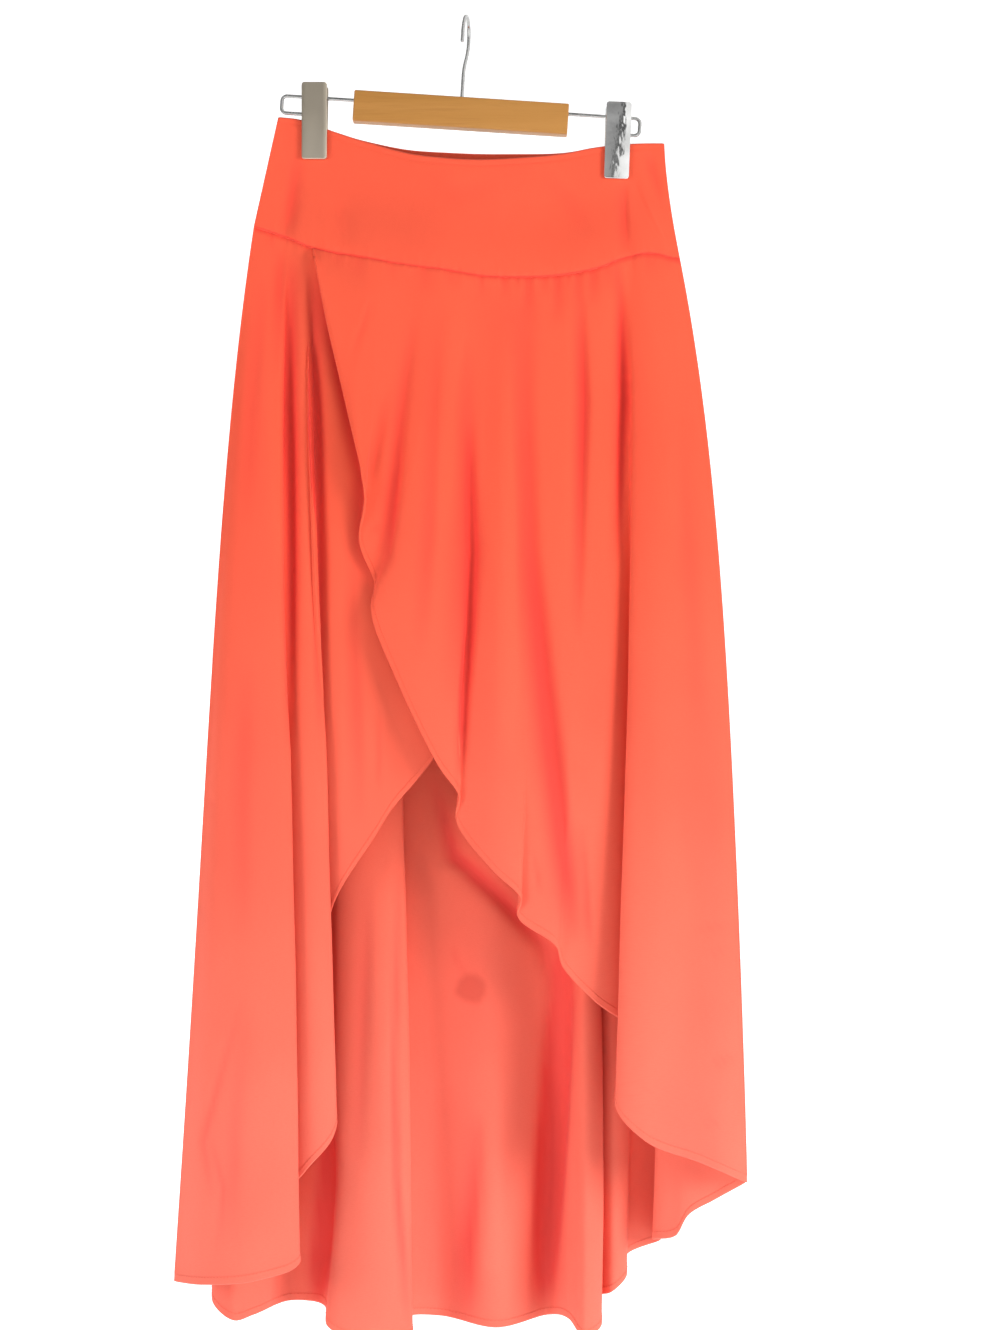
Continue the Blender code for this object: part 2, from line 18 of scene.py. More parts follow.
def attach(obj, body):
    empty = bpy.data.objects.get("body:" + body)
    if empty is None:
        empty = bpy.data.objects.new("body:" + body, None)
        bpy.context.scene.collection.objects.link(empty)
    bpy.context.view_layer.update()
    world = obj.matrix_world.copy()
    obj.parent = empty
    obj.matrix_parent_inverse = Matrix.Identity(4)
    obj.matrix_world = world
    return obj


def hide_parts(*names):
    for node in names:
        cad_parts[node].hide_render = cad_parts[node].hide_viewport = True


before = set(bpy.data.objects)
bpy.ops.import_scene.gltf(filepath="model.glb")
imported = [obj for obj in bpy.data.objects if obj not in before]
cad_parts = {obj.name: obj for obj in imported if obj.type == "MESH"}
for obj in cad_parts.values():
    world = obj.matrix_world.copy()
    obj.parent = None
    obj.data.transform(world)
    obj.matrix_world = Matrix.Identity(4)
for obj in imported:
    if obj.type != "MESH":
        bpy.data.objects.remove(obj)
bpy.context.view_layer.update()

bl_info = {
    "name": "High-low Skirt",
    "version": (1, 0, 0),
    "blender": (4, 5, 0),
    "location": "View3D > Sidebar > Skirt",
    "description": "Models a high-low wrap skirt that hangs from a clip hanger",
    "category": "Object",
}

MM = 0.001
BODY = "root"

# Gap and walls of the solids that the cloth lies on
SEAM_GAP = 0.3
BAND_WALL = 2.0
HALF_PAIR = 0.75

# Waistband: corners across, and how far its two layers stand apart
BAND_TOP_LEFT = -154.0
BAND_TOP_RIGHT = 161.0
BAND_LOW_LEFT = -174.0
BAND_LOW_RIGHT = 174.0
BAND_RIGHT_FLARE = 1.5
TOP_BULGE = 8.0
SEAM_BULGE = 13.0
PINCH_END = 0.34
BACK_TOP_RISE = 9.0  # 3.5 above the solid, so that the inside of the back shows over the front
HIP_SWELL = 6.0
HIP_REACH = 60.0

# Hanger, upright about the hook's crown before it is tilted
HANGER_TILT = math.radians(3.7)
BAR_LENGTH = 176.0
BAR_HEIGHT = 25.2
BAR_DEPTH = 12.0
BAR_CENTRE_Z = -77.8
WIRE_RADIUS = 1.5
WIRE_Z = -72.6
WIRE_RETURN_Z = -86.6
WIRE_END_X = 147.0
WIRE_TAIL_X = 120.0
WIRE_BEND = 4.2
BORE_CLEARANCE = 0.3
BORE_DEPTH = 10.0
HOOK_RADIUS = 17.0
HOOK_TURN = math.radians(83.0)
HOOK_TIP_DROP = 9.0
HOOK_NECK_Z = -46.0

# Spring clips
CLIP_WIDTH = 20.0
CLIP_CORNER = 2.0
CLIP_RISE = 10.6
CLIP_DROP = 50.8
CLIP_TOP_OUT = 8.2
CLIP_PIVOT_OUT = 6.9
CLIP_JAW_OUT = 4.7
CLIP_JAW_START = 30.0
EAR_WALL = 0.9
EAR_HEIGHT = 8.8
EAR_REACH = 3.9
EAR_ROUNDING = 3.8
EAR_HOLE = 2.4
SOFT_EDGE = 0.18
FRONT_EAR_X = 8.0
BACK_EAR_X = 6.5
PAD_WIDTH = 17.0
PAD_WALL = 1.4
PAD_HEIGHT = 16.0
PAD_FOOT = 1.2
PAD_STEPS = 8
PAD_RIB = 0.25
PAD_ROUNDING = 0.35
SPRING_TURNS = 5
SPRING_RADIUS = 2.9
SPRING_WIRE = 0.45
SPRING_HALF_LENGTH = 5.0
SPRING_LEG_DROP = 9.0
SPRING_LEG_OUT = 4.9

Edge = namedtuple("Edge", "x z")
Fold = namedtuple("Fold", "name seam_x mid_x mid_y hem_x hem_y hem_z")
BandFold = namedtuple("BandFold", "name top_x low_x width depth")
Clip = namedtuple("Clip", "name along tilt finish")
Panel = namedtuple("Panel", "name folds side seam_shift creases columns rows")
Crease = namedtuple("Crease", "name path left right depth peak")
Gather = namedtuple("Gather", "x length width depth")
Sheet = namedtuple("Sheet", "width length area")

# Top edge of the front waistband, from left to right
TOP_EDGE = [
    Edge(-154, -81.5), Edge(-137, -83.5), Edge(-116, -91), Edge(-80, -103), Edge(-47, -112.5),
    Edge(-14, -117), Edge(11, -118), Edge(43, -116), Edge(78, -112), Edge(102, -107),
    Edge(124, -104), Edge(146, -103), Edge(161, -103),
]

# Waist seam, from left to right
WAIST_SEAM = [
    Edge(-174, -171), Edge(-149, -179), Edge(-126, -189), Edge(-91, -196), Edge(-55, -203),
    Edge(-18, -208), Edge(11, -213), Edge(43, -214), Edge(76, -212), Edge(109, -205),
    Edge(126, -198), Edge(149, -193), Edge(174, -198),
]

# Soft troughs in the front waistband: place at the top and at the seam, half width, depth inwards
BAND_FOLDS = [
    BandFold("left_of_clip", -137, -150, 9, 2.6),
    BandFold("right_of_left_clip", -113, -99, 11, 1.6),
    BandFold("under_right_clip", 128, 133, 8, 2.4),
    BandFold("ridge_to_right_side", 139, 166, 9, -1.8),
]

# Front underlap, from the left side seam to its hidden end under the overlap
UNDERLAP_FOLDS = [
    Fold("side", -174, -209, 0, -239.5, 0, -1034.5),
    Fold("outer_left", -166, -196, -16, -211, -28, -1029),
    Fold("outer_mid", -158, -169, -24, -168, -44, -1021),
    Fold("first_crest", -148, -141, -20, -134, -36, -1009),
    Fold("first_valley", -144, -150, -8, -162, -12, -978),
    Fold("strip", -137, -132, -14, -130, -24, -938),
    Fold("second_crest", -129, -116, -13, -106, -20, -905),
    Fold("second_valley", -124, -127, -6, -129, 0, -821),
    Fold("lap_turn", -118, -111, -8, -112, -8, -734),
    Fold("lap_corner", -105, -99, -10, -103, -10, -712),
    Fold("lap_low", -79, -77, -11, -75, -9, -669),
    Fold("lap_notch", -58, -59, -11, -62, -7, -648),
    Fold("lap_mid", -30, -28, -12, -28, -10, -607),
    Fold("hidden_low", 9, 9, -11, 19, -9, -530),
    Fold("hidden_mid", 43, 45, -11, 56, -10, -456),
    Fold("hidden_high", 76, 78, -10, 84, -10, -330),
    Fold("hidden_corner", 105, 106, -8, 107, -7, -222),
]

# Front overlap, from its top corner at the left to the right side seam
OVERLAP_FOLDS = [
    Fold("corner", -125, -124, -14, -123, -14, -202),
    Fold("edge_high", -119, -117, -17, -114, -18, -246),
    Fold("edge_low", -105, -101, -21, -98, -24, -315),
    Fold("flute_crest", -90, -87, -24, -85, -30, -373),
    Fold("flute_turn", -72, -77, -22, -82, -24, -400),
    Fold("flute_back", -59, -70, -18, -87, -17, -430),
    Fold("valley", -44, -56, -17, -75, -15, -463),
    Fold("second_flute", -30, -38, -22, -77, -22, -487),
    Fold("edge_mid", -17, -25, -25, -56, -26, -542),
    Fold("edge_swell", -1, -7, -22, -23, -28, -610),
    Fold("third_crest", 9, 3, -20, -6, -24, -636),
    Fold("third_notch", 17, 10, -20, -8, -20, -657),
    Fold("rise", 32, 27, -25, 21, -26, -695),
    Fold("fourth_crest", 47, 45, -23, 44, -27, -718),
    Fold("fourth_notch", 58, 58, -22, 42, -22, -734),
    Fold("broad", 77, 85, -23, 72, -26, -756),
    Fold("fifth_notch", 90, 98, -22, 78, -20, -774),
    Fold("before_fold", 105, 115, -20, 104, -18, -802),
    Fold("fold_under", 128, 135, -10, 148, -6, -840),
    Fold("right_crest", 136, 130, -26, 120, -36, -882),
    Fold("right_face", 146, 148, -32, 143, -46, -909),
    Fold("right_outer", 159, 181, -22, 188, -34, -929),
    Fold("side", 174, 211, 0, 229, 0, -953.5),
]

# Back panel, from the left side seam to the right one
BACK_FOLDS = [
    Fold("side", -174, -209, 0, -239.5, 0, -1034.5),
    Fold("rear_left", -165, -197, 24, -216, 44, -1044),
    Fold("left_lobe_in", -158, -188, 22, -212, 30, -1062),
    Fold("left_lobe", -150, -175, 14, -193, 14, -1071),
    Fold("left_lobe_out", -144, -164, 20, -178, 26, -1070),
    Fold("left_hollow", -131, -140, 34, -151, 62, -1069),
    Fold("flute_in", -119, -116, 25, -120, 42, -1068),
    Fold("flute_edge", -111, -106, 18, -115, 21, -1079),
    Fold("flute_face", -95, -84, 14, -80, 14, -1090),
    Fold("flute_crest", -72, -54, 18, -47, 26, -1088),
    Fold("flute_behind", -67, -63, 28, -51, 52, -1080),
    Fold("middle_left", -51, -37, 34, -24, 68, -1084),
    Fold("middle", -17, 15, 30, 24, 46, -1087),
    Fold("middle_right", 22, 61, 36, 68, 74, -1085),
    Fold("strip_in", 43, 79, 26, 85, 40, -1078),
    Fold("strip_face", 56, 92, 18, 97, 18, -1086),
    Fold("strip_out", 69, 105, 22, 111, 32, -1081),
    Fold("strip_behind", 73, 102, 32, 108, 54, -1064),
    Fold("narrow_face", 87, 115, 26, 121, 40, -1055),
    Fold("narrow_out", 99, 128, 30, 133, 49, -1045),
    Fold("hollow_edge", 106, 138, 35, 134, 63, -1031),
    Fold("right_hollow", 118, 153, 36, 162, 70, -1021),
    Fold("last_crest", 129, 157, 22, 155, 26, -1007),
    Fold("last_face", 141, 175, 16, 172, 14, -1001),
    Fold("last_turn", 151, 188, 15, 183, 12, -983),
    Fold("last_outer", 162, 201, 12, 203, 11, -971),
    Fold("side", 174, 211, 0, 229, 0, -953.5),
]

# Creases: route across X and Z, half widths to its left and right, depth away from the
# front (a ridge is negative), and the place along the route where each is deepest
OVERLAP_CREASES = [
    Crease("thin_valley", ((2, -330), (5, -437), (3, -500), (-2, -558), (-5, -622)), 4, 3.6, 6.0, 0.7),
    Crease("beside_thin_valley", ((-1, -262), (-1, -315), (5, -437), (-6, -560)), 15, 7, 3.2, 0.5),
    Crease("broad_trough", ((47, -220), (48, -315), (53, -437), (66, -558), (80, -679), (88, -760)), 14, 7, 5.4, 0.8),
    Crease("hip_trough", ((87, -214), (93, -235), (96, -315), (92, -437), (89, -520)), 8, 4, 4.6, 0.35),
    Crease("crest_valley", ((124, -202), (127, -235), (129, -315), (124, -450)), 6, 3, 5.6, 0.4),
    Crease("long_soft_valley", ((-43, -243), (-54, -332), (-57, -370), (-65, -442), (-74, -464)), 7, 5, 3.8, 0.7),
    Crease("light_ridge", ((33, -250), (34, -400), (34, -610)), 8, 7, -1.7, 0.5),
    Crease("slanted_pinch", ((-77, -230), (-87, -262), (-98, -295)), 2.2, 4, 1.3, 0.4),
    Crease("edge_wrinkle", ((54, -679), (60, -717)), 3, 2, 1.2, 0.6),
    Crease("edge_wrinkle_long", ((92, -649), (96, -700), (101, -762)), 5, 3, 1.9, 0.7),
    Crease("flute_soft", ((-62, -300), (-72, -352), (-80, -385)), 6, 4, 1.6, 0.7),
    Crease("flute_pinch", ((-70, -415), (-80, -422)), 2.5, 2.5, 0.9, 0.5),
    Crease("upper_drag", ((-20, -230), (-26, -300), (-30, -420), (-38, -530)), 9, 5, 1.8, 0.6),
    Crease("upper_ridge", ((-12, -226), (-12, -320), (-14, -430)), 6, 8, -1.2, 0.5),
    Crease("right_hip_ridge", ((150, -230), (162, -330), (168, -450)), 9, 12, -1.5, 0.4),
    Crease("right_hip_trough", ((168, -300), (182, -450), (190, -600)), 10, 8, 1.2, 0.5),
    Crease("face_run", ((150, -560), (156, -680), (160, -800)), 9, 12, -1.1, 0.5),
    Crease("side_press_high", ((181, -744), (208, -741), (238, -742)), 2.6, 2.6, 0.8, 0.6),
    Crease("side_press_next", ((189, -764), (236, -759)), 2.2, 2.2, 0.6, 0.5),
    Crease("side_press_mid", ((205, -809), (222, -806), (240, -807)), 2.4, 2.4, 0.8, 0.5),
    Crease("side_press_low", ((196, -853), (222, -848), (236, -842)), 2.8, 2.8, 1.0, 0.4),
    Crease("side_press_last", ((190, -898), (205, -901)), 2.4, 2.4, 0.7, 0.5),
    Crease("side_bend", ((206, -585), (221, -578)), 2.6, 2.6, 0.9, 0.5),
]
UNDERLAP_CREASES = [
    Crease("first_valley_high",
           ((-143, -194), (-145.5, -235), (-146.5, -315), (-145, -437), (-144, -600)), 3.5, 7, 6.4, 0.4),
    Crease("second_valley_high",
           ((-127, -197), (-127, -235), (-124, -315), (-122, -437), (-120, -600)), 4, 7, 5.6, 0.4),
    Crease("under_free_edge",
           ((-119, -205), (-112, -246), (-96, -315), (-84, -373), (-86, -430), (-74, -487)), 9, 14, 6.0, 0.3),
    Crease("outer_soft_valley", ((-153, -186), (-154, -240), (-156, -320)), 5, 4, 1.8, 0.3),
    Crease("press_line", ((-179, -795), (-198, -858), (-214, -916), (-204, -963)), 3, 3, 1.3, 0.6),
    Crease("press_line_low", ((-208, -905), (-196, -952), (-200, -1004)), 2.6, 2.6, 1.0, 0.5),
    Crease("inside_side_seam", ((-188, -260), (-203, -460), (-217, -700)), 3, 3, 0.9, 0.5),
    Crease("hip_drag", ((-166, -205), (-174, -300), (-180, -420)), 9, 6, 1.4, 0.4),
    Crease("hip_ridge", ((-152, -225), (-154, -320), (-152, -450)), 8, 4, -1.3, 0.5),
    Crease("soft_run", ((-178, -520), (-182, -640), (-180, -760)), 10, 7, 1.3, 0.5),
    Crease("lap_run", ((-94, -420), (-90, -540), (-87, -660)), 9, 5, 1.9, 0.6),
    Crease("lap_pinch", ((-70, -560), (-72, -636)), 4, 3, 1.3, 0.6),
    Crease("side_nip", ((-214, -640), (-203, -644)), 2.4, 2.4, 0.8, 0.5),
    Crease("low_run", ((-176, -800), (-186, -900), (-190, -1000)), 8, 6, 0.9, 0.6),
]
BACK_CREASES = [
    Crease("long_fold_line",
           ((-53, -637), (-57, -745), (-60, -859), (-58, -955), (-52, -1030), (-50, -1084)), 5, 2.5, 2.8, 0.7),
    Crease("deep_recess", ((80, -740), (78, -812), (70, -944), (66, -1032), (64, -1084)), 9, 9, 14.0, 0.6),
    Crease("left_recess", ((-118, -880), (-119, -960), (-126, -1032), (-128, -1070)), 7, 8, 12.0, 0.7),
    Crease("middle_valley", ((12, -900), (6, -960), (0, -1030), (0, -1090)), 12, 6, 3.0, 0.6),
    Crease("middle_ridge", ((26, -850), (24, -940), (22, -1040)), 9, 9, -2.0, 0.6),
    Crease("side_soft", ((-82, -700), (-86, -820), (-90, -960)), 8, 6, 1.6, 0.5),
    Crease("under_front_edge",
           ((-34, -612), (-24, -643), (-13, -690), (30, -727), (64, -766), (73, -811)), 6, 8, 5.0, 0.5),
    Crease("middle_wrinkle", ((-14, -764), (-9, -778), (-2, -792)), 3, 3, 0.9, 0.5),
    Crease("left_rear_run", ((-150, -240), (-168, -420), (-176, -600)), 9, 6, -2.4, 0.5),
    Crease("left_rear_valley", ((-118, -230), (-124, -380), (-120, -560)), 6, 9, -2.2, 0.5),
    Crease("rear_pinch", ((-84, -226), (-80, -300), (-82, -352)), 4, 3, -1.6, 0.4),
    Crease("rear_long", ((-40, -230), (-30, -380), (-24, -560)), 8, 5, -2.8, 0.6),
    Crease("rear_middle", ((18, -236), (30, -400), (44, -600)), 9, 6, -2.4, 0.5),
    Crease("rear_short", ((52, -234), (58, -300), (60, -356)), 4, 3, -1.5, 0.4),
    Crease("rear_right_run", ((84, -228), (96, -380), (108, -540)), 6, 9, -2.3, 0.5),
    Crease("right_rear_run", ((138, -230), (158, -400), (170, -560)), 9, 6, -2.2, 0.5),
    Crease("rear_press", ((-30, -700), (-12, -705), (10, -702)), 2.5, 2.5, -0.8, 0.5),
    Crease("rear_press_low", ((60, -860), (76, -872), (84, -890)), 2.6, 2.6, -0.9, 0.5),
    Crease("rear_press_left", ((-196, -800), (-186, -850), (-190, -905)), 3, 3, -1.0, 0.5),
]
BAND_CREASES = [
    Crease("from_left_clip", ((-139, -108), (-143, -140), (-148, -178)), 5, 7, 2.3, 0.6),
    Crease("beside_left_clip", ((-112, -128), (-106, -150), (-99, -188)), 7, 10, 0.5, 0.6),
    Crease("from_right_clip", ((129, -132), (130, -160), (132, -194)), 8, 2.4, 2.2, 0.5),
    Crease("right_drag_ridge", ((139, -128), (152, -160), (168, -192)), 3, 6, -2.0, 0.4),
    Crease("right_drag", ((146, -108), (156, -130), (164, -160)), 6, 5, 1.6, 0.4),
    Crease("middle_sag", ((-40, -130), (-10, -146), (30, -140)), 9, 9, 0.6, 0.5),
    Crease("right_sag", ((60, -126), (84, -150), (100, -186)), 9, 9, 0.9, 0.5),
]
BACK_BAND_CREASES = [
    Crease("rear_left_drag", ((-128, -118), (-134, -150), (-144, -180)), 6, 4, -1.8, 0.5),
    Crease("rear_sag", ((-30, -128), (0, -150), (34, -138)), 9, 9, -0.7, 0.5),
    Crease("rear_right_drag", ((134, -130), (144, -160), (158, -190)), 4, 6, -1.8, 0.5),
]

# Short gathers that start at the waist seam: place, length, half width, depth
SEAM_GATHERS = [
    Gather(-160, 24, 4, 0.9), Gather(-105, 22, 4, 0.7), Gather(-88, 34, 5, 0.9), Gather(-61, 18, 3, 0.7),
    Gather(-34, 30, 5, 1.0), Gather(-12, 20, 4, 0.8), Gather(12, 26, 4, 1.0), Gather(31, 24, 3.2, 1.4),
    Gather(41, 14, 2.6, 0.9), Gather(50, 42, 4, 1.9), Gather(63, 20, 3, 1.4), Gather(74, 56, 4, 2.2),
    Gather(83, 16, 2.6, 1.0), Gather(91, 34, 3.5, 1.8), Gather(103, 50, 4, 2.0), Gather(114, 26, 3, 1.3),
    Gather(122, 36, 3, 1.2), Gather(150, 26, 4, 0.9), Gather(163, 16, 3, 0.8),
]

# Clips: place along the end wires from the hanger's middle, their own lean, and their steel
CLIPS = [
    Clip("left", -120.2, math.radians(0.3), "brushed"),
    Clip("right", 129.0, math.radians(2.0), "mirror"),
]

FRONT, BACK = -1, 1
PANELS = {
    "front_overlap": Panel("front_overlap", OVERLAP_FOLDS, FRONT, -HALF_PAIR, OVERLAP_CREASES, 230, 150),
    "front_underlap": Panel("front_underlap", UNDERLAP_FOLDS, FRONT, HALF_PAIR, UNDERLAP_CREASES, 190, 190),
    "back_panel": Panel("back_panel", BACK_FOLDS, BACK, 0.0, BACK_CREASES, 250, 170),
}

# Places of the waistband's rows near its top edge and its seam, as shares of its height
BAND_TOP_ROWS = [0.0, 0.008, 0.02, 0.035, 0.045, 0.055, 0.07]
BAND_SEAM_ROWS = [0.955, 0.97, 0.985, 1.0]

# Share of a fold table's first step over which the creases fade out beside a side seam
SIDE_HOLD = 0.7

# Half widths of the sewn ridge down a side: beside the waistband, beside the panels, and outwards
SIDE_BAND_HALF = 2.35
SIDE_PANEL_HALF = 1.45
SIDE_OUT_HALF = 0.95

# Rows of the turned hem, as distances up from the fold in millimetres
HEM_ROWS = [7.6, 6.9, 6.4, 6.0, 5.6, 5.2, 4.8, 3.6, 2.2, 1.0, 0.0]
STITCH_ROW = 5.2


def smooth_step(share):
    """Ease from 0 to 1 with level ends."""
    share = np.clip(share, 0.0, 1.0)
    return share * share * (3 - 2 * share)


def smooth_span(before, start, end, after, share):
    """Point between start and end on a centripetal curve through all four."""
    first = max((start - before).length, 0.01) ** 0.5
    middle = max((end - start).length, 0.01) ** 0.5
    last = max((after - end).length, 0.01) ** 0.5
    leave = (start - before) / first - (end - before) / (first + middle) + (end - start) / middle
    arrive = (end - start) / middle - (after - start) / (middle + last) + (after - end) / last
    square, cube = share * share, share * share * share
    return (
        start * (2 * cube - 3 * square + 1)
        + leave * middle * (cube - 2 * square + share)
        + end * (3 * square - 2 * cube)
        + arrive * middle * (cube - square)
    )


def smooth_line(points, place):
    """Point at a place along a smooth curve, counted in points from the first one."""
    index = min(int(place), len(points) - 2)
    start, end = points[index], points[index + 1]
    before = points[index - 1] if index > 0 else start * 2 - end
    after = points[index + 2] if index + 2 < len(points) else end * 2 - start
    return smooth_span(before, start, end, after, place - index)


def edge_height(edge, x):
    """Height of a table edge at x, on smooth spans between its rows."""
    index = max(i for i, row in enumerate(edge[:-1]) if row.x <= x or i == 0)
    slopes = [(b.z - a.z) / (b.x - a.x) for a, b in zip(edge, edge[1:])]
    bends = [slopes[0]] + [(a + b) / 2 for a, b in zip(slopes, slopes[1:])] + [slopes[-1]]
    left, right = edge[index], edge[index + 1]
    width = right.x - left.x
    share = (x - left.x) / width
    square, cube = share * share, share * share * share
    return (
        left.z * (2 * cube - 3 * square + 1)
        + bends[index] * width * (cube - 2 * square + share)
        + right.z * (3 * square - 2 * cube)
        + bends[index + 1] * width * (cube - square)
    )


def hanger_matrix():
    """The hanger's lean about the hook's crown, its right end lower."""
    return Matrix.Rotation(HANGER_TILT, 4, "Y")


def clip_matrix(clip):
    """Place of a clip: its pivot on the end wire, turned by its own tilt."""
    pivot = hanger_matrix() @ Vector((clip.along, 0, WIRE_Z))
    return Matrix.Translation(pivot) @ Matrix.Rotation(clip.tilt, 4, "Y")


def top_bulge(x):
    """Distance that a layer bows out at the top edge, nothing where the clips pinch it."""
    left, right = (clip_matrix(clip).translation.x for clip in CLIPS)
    left += CLIP_WIDTH / 2
    right -= CLIP_WIDTH / 2
    if x <= left or x >= right:
        return 0.0
    share = (x - left) / (right - left)
    return TOP_BULGE * math.sin(math.pi * share) ** 2


def seam_bulge(x):
    """Distance that a layer bows out at the waist seam, nothing at the side seams."""
    return SEAM_BULGE * (1 - (x / BAND_LOW_RIGHT) ** 2)


def band_relief(x, drop):
    """Depth of the front band's soft troughs at a place."""
    total = 0.0
    for fold in BAND_FOLDS:
        line_x = fold.top_x + (fold.low_x - fold.top_x) * drop
        spread = (x - line_x) / fold.width
        total += fold.depth * math.exp(-spread * spread) * smooth_step((drop - PINCH_END) * 3)
    return total


def band_point(side, share, drop):
    """Point on a waistband layer: share across, drop from its top edge to the waist seam."""
    left = BAND_TOP_LEFT + (BAND_LOW_LEFT - BAND_TOP_LEFT) * drop
    right = BAND_TOP_RIGHT + (BAND_LOW_RIGHT - BAND_TOP_RIGHT) * drop ** BAND_RIGHT_FLARE
    top_x = BAND_TOP_LEFT + (BAND_TOP_RIGHT - BAND_TOP_LEFT) * share
    seam_x = BAND_LOW_LEFT + (BAND_LOW_RIGHT - BAND_LOW_LEFT) * share
    x = left + (right - left) * share
    top_z = edge_height(TOP_EDGE, top_x)
    if side == BACK:
        top_z += BACK_TOP_RISE * top_bulge(top_x) / TOP_BULGE
    seam_z = edge_height(WAIST_SEAM, seam_x) + SEAM_GAP / 2
    opening = smooth_step((drop - PINCH_END) / (1 - PINCH_END))
    bulge = top_bulge(x) * (1 - opening) + seam_bulge(seam_x) * opening
    depth = (BAND_WALL + SEAM_GAP) / 2 + bulge
    if side == FRONT:
        depth -= band_relief(x, drop) * min(1.0, bulge / 3)
    return Vector((x, side * depth, top_z + (seam_z - top_z) * drop))


def panel_column(panel, place):
    """Seam, middle and hem points of the line of cloth that falls from a place on the seam."""
    seam_x = smooth_line([Vector((fold.seam_x, 0, 0)) for fold in panel.folds], place).x
    mid = smooth_line([Vector((fold.mid_x, fold.mid_y, 0)) for fold in panel.folds], place)
    hem = smooth_line([Vector((fold.hem_x, fold.hem_y, fold.hem_z)) for fold in panel.folds], place)
    seam = band_point(panel.side, (seam_x - BAND_LOW_LEFT) / (BAND_LOW_RIGHT - BAND_LOW_LEFT), 1.0)
    seam += Vector((0, panel.seam_shift, -SEAM_GAP))
    ends = [i for i, fold in enumerate(panel.folds) if fold.name == "side"]
    step = panel.side * HALF_PAIR * max(0.0, 1 - min(abs(place - end) for end in ends))
    mid += Vector((0, step, 0))
    hem += Vector((0, step, 0))
    mid.z = (seam.z + hem.z) / 2
    return seam_x, seam, mid, hem


def fall(column, drop):
    """Point on a line of cloth, drop from 0 at the seam to 1 at the hem."""
    seam_x, seam, mid, hem = column
    point = (
        seam * ((1 - drop) * (1 - 2 * drop))
        + mid * (4 * drop * (1 - drop))
        + hem * (drop * (2 * drop - 1))
    )
    from_side = BAND_LOW_RIGHT - abs(seam_x)
    height = drop * (1 - drop) ** 3 / (0.25 * 0.75 ** 3)
    swell = HIP_SWELL * height * (1 - smooth_step(from_side / HIP_REACH))
    point.x += math.copysign(swell, seam_x)
    return point


def grid_normals(grid):
    """Unit normal at each point of a grid, pointing to the viewer's side of the front."""
    down = np.gradient(grid, axis=0)
    across = np.gradient(grid, axis=1)
    normals = np.cross(down, across)
    return normals / np.linalg.norm(normals, axis=2, keepdims=True)


def beside_route(grid, path):
    """Distance of each grid point from a route in X and Z, negative to its left, and its share along it."""
    points = np.array(path, float)
    spans = points[1:] - points[:-1]
    lengths = np.linalg.norm(spans, axis=1)
    place = grid[..., (0, 2)]
    best = np.full(grid.shape[:2], 1e9)
    share = np.zeros(grid.shape[:2])
    done = 0.0
    for start, span, length in zip(points, spans, lengths):
        along = np.clip(((place - start) @ span) / length ** 2, 0.0, 1.0)
        off = place - start - along[..., None] * span
        away = np.linalg.norm(off, axis=2)
        nearer = away < np.abs(best)
        best = np.where(nearer, np.where(off[..., 0] < 0, -away, away), best)
        share = np.where(nearer, (done + along * length) / lengths.sum(), share)
        done += length
    return best, share


def crease_depth(grid, creases):
    """Sum of the listed troughs and ridges at each grid point."""
    depth = np.zeros(grid.shape[:2])
    for crease in creases:
        away, share = beside_route(grid, crease.path)
        spread = away / np.where(away < 0, crease.left, crease.right)
        rising = smooth_step(share / crease.peak)
        falling = smooth_step((1 - share) / (1 - crease.peak))
        depth += crease.depth * np.exp(-(spread ** 2)) * np.sqrt(np.minimum(rising, falling))
    return depth


def gather_depth(grid, fallen):
    """Short gathers and small puckers that fade below the waist seam."""
    x = grid[..., 0]
    depth = np.zeros(grid.shape[:2])
    for gather in SEAM_GATHERS:
        fade = smooth_step(1 - fallen / gather.length)
        width = gather.width * (1 + fallen / gather.length)
        depth += gather.depth * np.exp(-(((x - gather.x) / width) ** 2)) * fade
    return depth + seam_pucker(x) * np.exp(-fallen / 6.0) + 0.8 * np.exp(-fallen / 1.4)


def seam_pucker(x):
    """Small uneven waves that the sewing draws into the cloth beside a seam."""
    return 0.22 * np.sin(x / 1.53 + 0.8 * np.sin(x / 17)) + 0.16 * np.sin(x / 0.94 + 2.1)


def seam_shade(away, reach):
    """Fold shade of the narrow groove along the waist seam, by the distance from it."""
    return 1.1 * np.exp(-((away / reach) ** 2))


def slow_waves(across, down):
    """Faint unevenness of hanging cloth, so that no stretch is quite flat."""
    return (
        0.32 * np.sin(across / 27 + 0.6 * np.sin(down / 96) + 1.3)
        + 0.24 * np.sin(across / 15.5 - down / 210 + 4.1)
        + 0.18 * np.sin(down / 43 + across / 61 + 0.7)
        + 0.10 * np.sin(down / 19 + 1.4 * np.sin(across / 33))
    )


def arc_lengths(grid, axis):
    """Running length of cloth along the rows or the columns of a grid."""
    steps = np.linalg.norm(np.diff(grid, axis=axis), axis=2)
    start = np.zeros_like(np.take(steps, [0], axis=axis))
    return np.cumsum(np.concatenate([start, steps], axis=axis), axis=axis)


